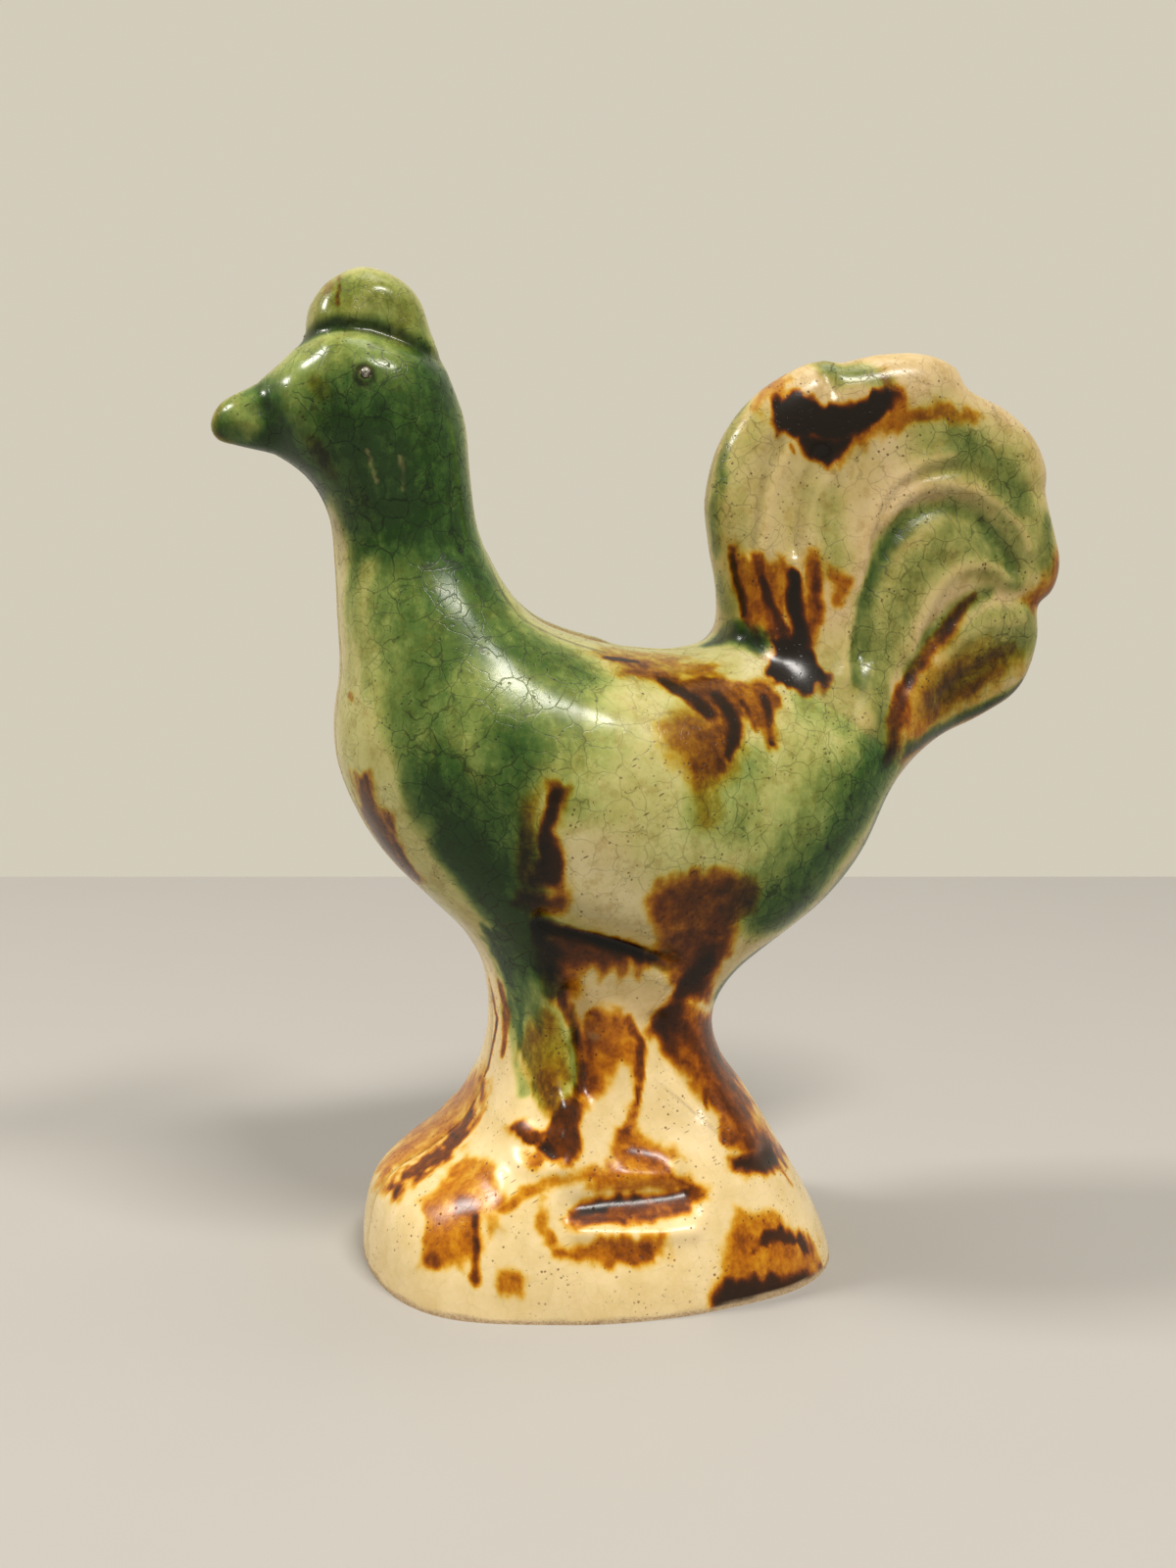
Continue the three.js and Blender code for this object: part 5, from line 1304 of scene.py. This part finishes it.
def eyeMaterial():
    sheet = GlazeSheet(bpy.data.materials.new("eyeBeadCoat"))
    clouds = sheet.noise(sheet.places(), 0.9, 3, 0.6)
    colour = sheet.blend(clouds.between(0.35, 0.65), eyeLook["light"], eyeLook["dark"])
    return sheet.finish({"Base Color": colour, "Roughness": 0.12 + 0.1 * clouds, "IOR": 1.52}, 0.05 * clouds, 0.6)


glazes = {slot: glazeMaterial(slot, look) for slot, look in glazeLooks.items()}
bareClay = clayMaterial()
eyeCoat = eyeMaterial()
print("glazes mixed:", len(glazes) + 2)


def toRow(points):
    return (points + (rowShift, 0, 0)) * mm


def readEach(items, field, width=1, kind=np.float32):
    flat = np.empty(len(items) * width, kind)
    items.foreach_get(field, flat)
    return flat.reshape(-1, width).astype(float) if width > 1 else flat


def dressShell(piece, side, coat):
    # glaze on the outer skin, bare clay on every cut and inner wall
    mesh = piece.data
    points = readEach(mesh.vertices, "co", 3)
    centres, normals = (readEach(mesh.polygons, field, 3) for field in ("center", "normal"))

    def readSkin(places):
        if side:
            return skinAt(side, places)
        near, far = skinAt(-1, places), skinAt(1, places)
        isNear = places[:, 1] < 0
        return np.where(isNear, near[0], far[0]), np.where(isNear[:, None], near[1], far[1])

    value, slope = readSkin(centres)
    steep = np.linalg.norm(slope, axis=1)
    outward = -slope / steep[:, None]
    onOutside = (np.abs(value) / np.maximum(steep, 0.5) < 0.5) & ((outward * normals).sum(1) > 0.5)
    rim = (np.abs(centres[:, 1]) < 0.01) & (distanceToLine(centres[:, 0], centres[:, 2], closedOutline) < 1.2)
    vertexSlope = readSkin(points)[1]
    vertexNormals = -vertexSlope / np.linalg.norm(vertexSlope, axis=1, keepdims=True)
    sizes = readEach(mesh.polygons, "loop_total", kind=np.int32)
    corners = readEach(mesh.loops, "vertex_index", kind=np.int32)
    owner = np.repeat(np.arange(len(sizes)), sizes)
    loopNormals = np.where(onOutside[owner][:, None], vertexNormals[corners], normals[owner])
    for layer, values in paintLayers(points, vertexNormals).items():
        mesh.attributes.new(layer, "FLOAT", "POINT").data.foreach_set("value", values.astype(np.float32))
    mesh.vertices.foreach_set("co", toRow(points).astype(np.float32).ravel())
    mesh.materials.clear()
    mesh.materials.append(coat)
    mesh.materials.append(bareClay)
    mesh.polygons.foreach_set("material_index", (~(onOutside | rim)).astype(np.int32))
    mesh.polygons.foreach_set("use_smooth", onOutside)
    mesh.update()
    mesh.normals_split_custom_set([tuple(n) for n in loopNormals])


def dressPlain(piece, coat):
    mesh = piece.data
    mesh.vertices.foreach_set("co", toRow(readEach(mesh.vertices, "co", 3)).astype(np.float32).ravel())
    mesh.materials.append(coat)
    mesh.polygons.foreach_set("use_smooth", np.ones(len(mesh.polygons), bool))
    mesh.update()


def declare(piece, nodeName):
    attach(piece, "root")
    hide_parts(nodeName)


for nodeName, (piece, side) in shells.items():
    slot = nodeName.split("_")[0].replace("bird", "body") + "_glaze"
    dressShell(piece, side, glazes[slot])
    declare(piece, nodeName)
    print("dressed", piece.name)
for nodeName, piece in eyes.items():
    dressPlain(piece, eyeCoat)
    declare(piece, nodeName)
for nodeName, piece in rolls.items():
    dressPlain(piece, bareClay)
    declare(piece, nodeName)

# Camera where the photographer stood
camera = placed("photoCamera", bpy.data.cameras.new("photoCamera"))
camera.data.sensor_width = photo["sensor"]
camera.data.lens = photo["focal"] / photo["height"] * photo["sensor"]
camera.data.clip_start, camera.data.clip_end = photo["clip"]
turn = Matrix((rightward, upward, -ahead)).transposed()
camera.matrix_world = Matrix.Translation(toRow(eyePoint)) @ turn.to_4x4()
bpy.context.scene.camera = camera

# Pale table and room, and soft lamps: place in metres, width and height, watts, colour
room = dict(table=(0.42, 0.402, 0.372), air=(0.65, 0.605, 0.50), fill=(0.14, 0.132, 0.114), tableWidth=4,
            tableDepth=3, tableEdge=0.555, tableGrain=30, grainShade=0.97)
lamps = {
    "ceilingLamp": dict(at=(0.2, -0.52, 0.88), size=(0.38, 0.13), watts=9.5, colour=(1, 0.965, 0.91)),
    "secondLamp": dict(at=(-0.72, 0.16, 0.74), size=(0.2, 0.2), watts=7, colour=(1, 0.965, 0.91)),
    "overheadLamp": dict(at=(0.1, 0.1, 1.1), size=(0.5, 0.5), watts=3.2, colour=(1, 0.965, 0.92)),
}
figureMiddle = Vector((0, 0, 0.07))


def addLamp(name, look):
    lamp = bpy.data.lights.new(name, "AREA")
    lamp.shape = "RECTANGLE"
    lamp.size, lamp.size_y = look["size"]
    lamp.energy, lamp.color = look["watts"], look["colour"]
    holder = placed(name, lamp)
    holder.location = look["at"]
    holder.rotation_euler = (figureMiddle - Vector(look["at"])).to_track_quat("-Z", "Y").to_euler()
    holder.visible_camera = False


for name, look in lamps.items():
    addLamp(name, look)
# the table's far edge crosses the picture behind the figure, as in the photograph
across, along = Vector(rightward), Vector((math.sin(yaw), math.cos(yaw), 0))
standpoint = Vector((*toRow(eyePoint)[:2], 0))
farEdge = standpoint + along * room["tableEdge"]
corners = [farEdge + across * side * room["tableWidth"] / 2 - along * back * room["tableDepth"]
           for side, back in ((-1, 1), (1, 1), (1, 0), (-1, 0))]
table = meshObject("table", [tuple(corner) for corner in corners], [(0, 1, 2, 3)])
tableSheet = GlazeSheet(bpy.data.materials.new("paleTable"))
grain = tableSheet.noise(tableSheet.places(), room["tableGrain"], 3)
shade = tableSheet.blend(grain, room["table"], tuple(c * room["grainShade"] for c in room["table"]))
table.data.materials.append(tableSheet.finish({"Base Color": shade, "Roughness": 0.55, "Specular IOR Level": 0.2}))

# what the eye and the glaze see of the room is paler than the light it gives
world = bpy.data.worlds.new("paleRoom")
bpy.context.scene.world = world
roomSheet = GlazeSheet(world)
seen, mirrored, through = (roomSheet.node("ShaderNodeLightPath", out=f"Is {kind} Ray")
                           for kind in ("Camera", "Glossy", "Transmission"))
airTone = roomSheet.blend(seen.maths("MAXIMUM", mirrored).maths("MAXIMUM", through), room["fill"], room["air"])
roomSheet.node("ShaderNodeOutputWorld", None,
               {"Surface": roomSheet.node("ShaderNodeBackground", None, {"Color": airTone})})
bpy.context.scene.view_settings.view_transform = "Standard"

print("stage set")
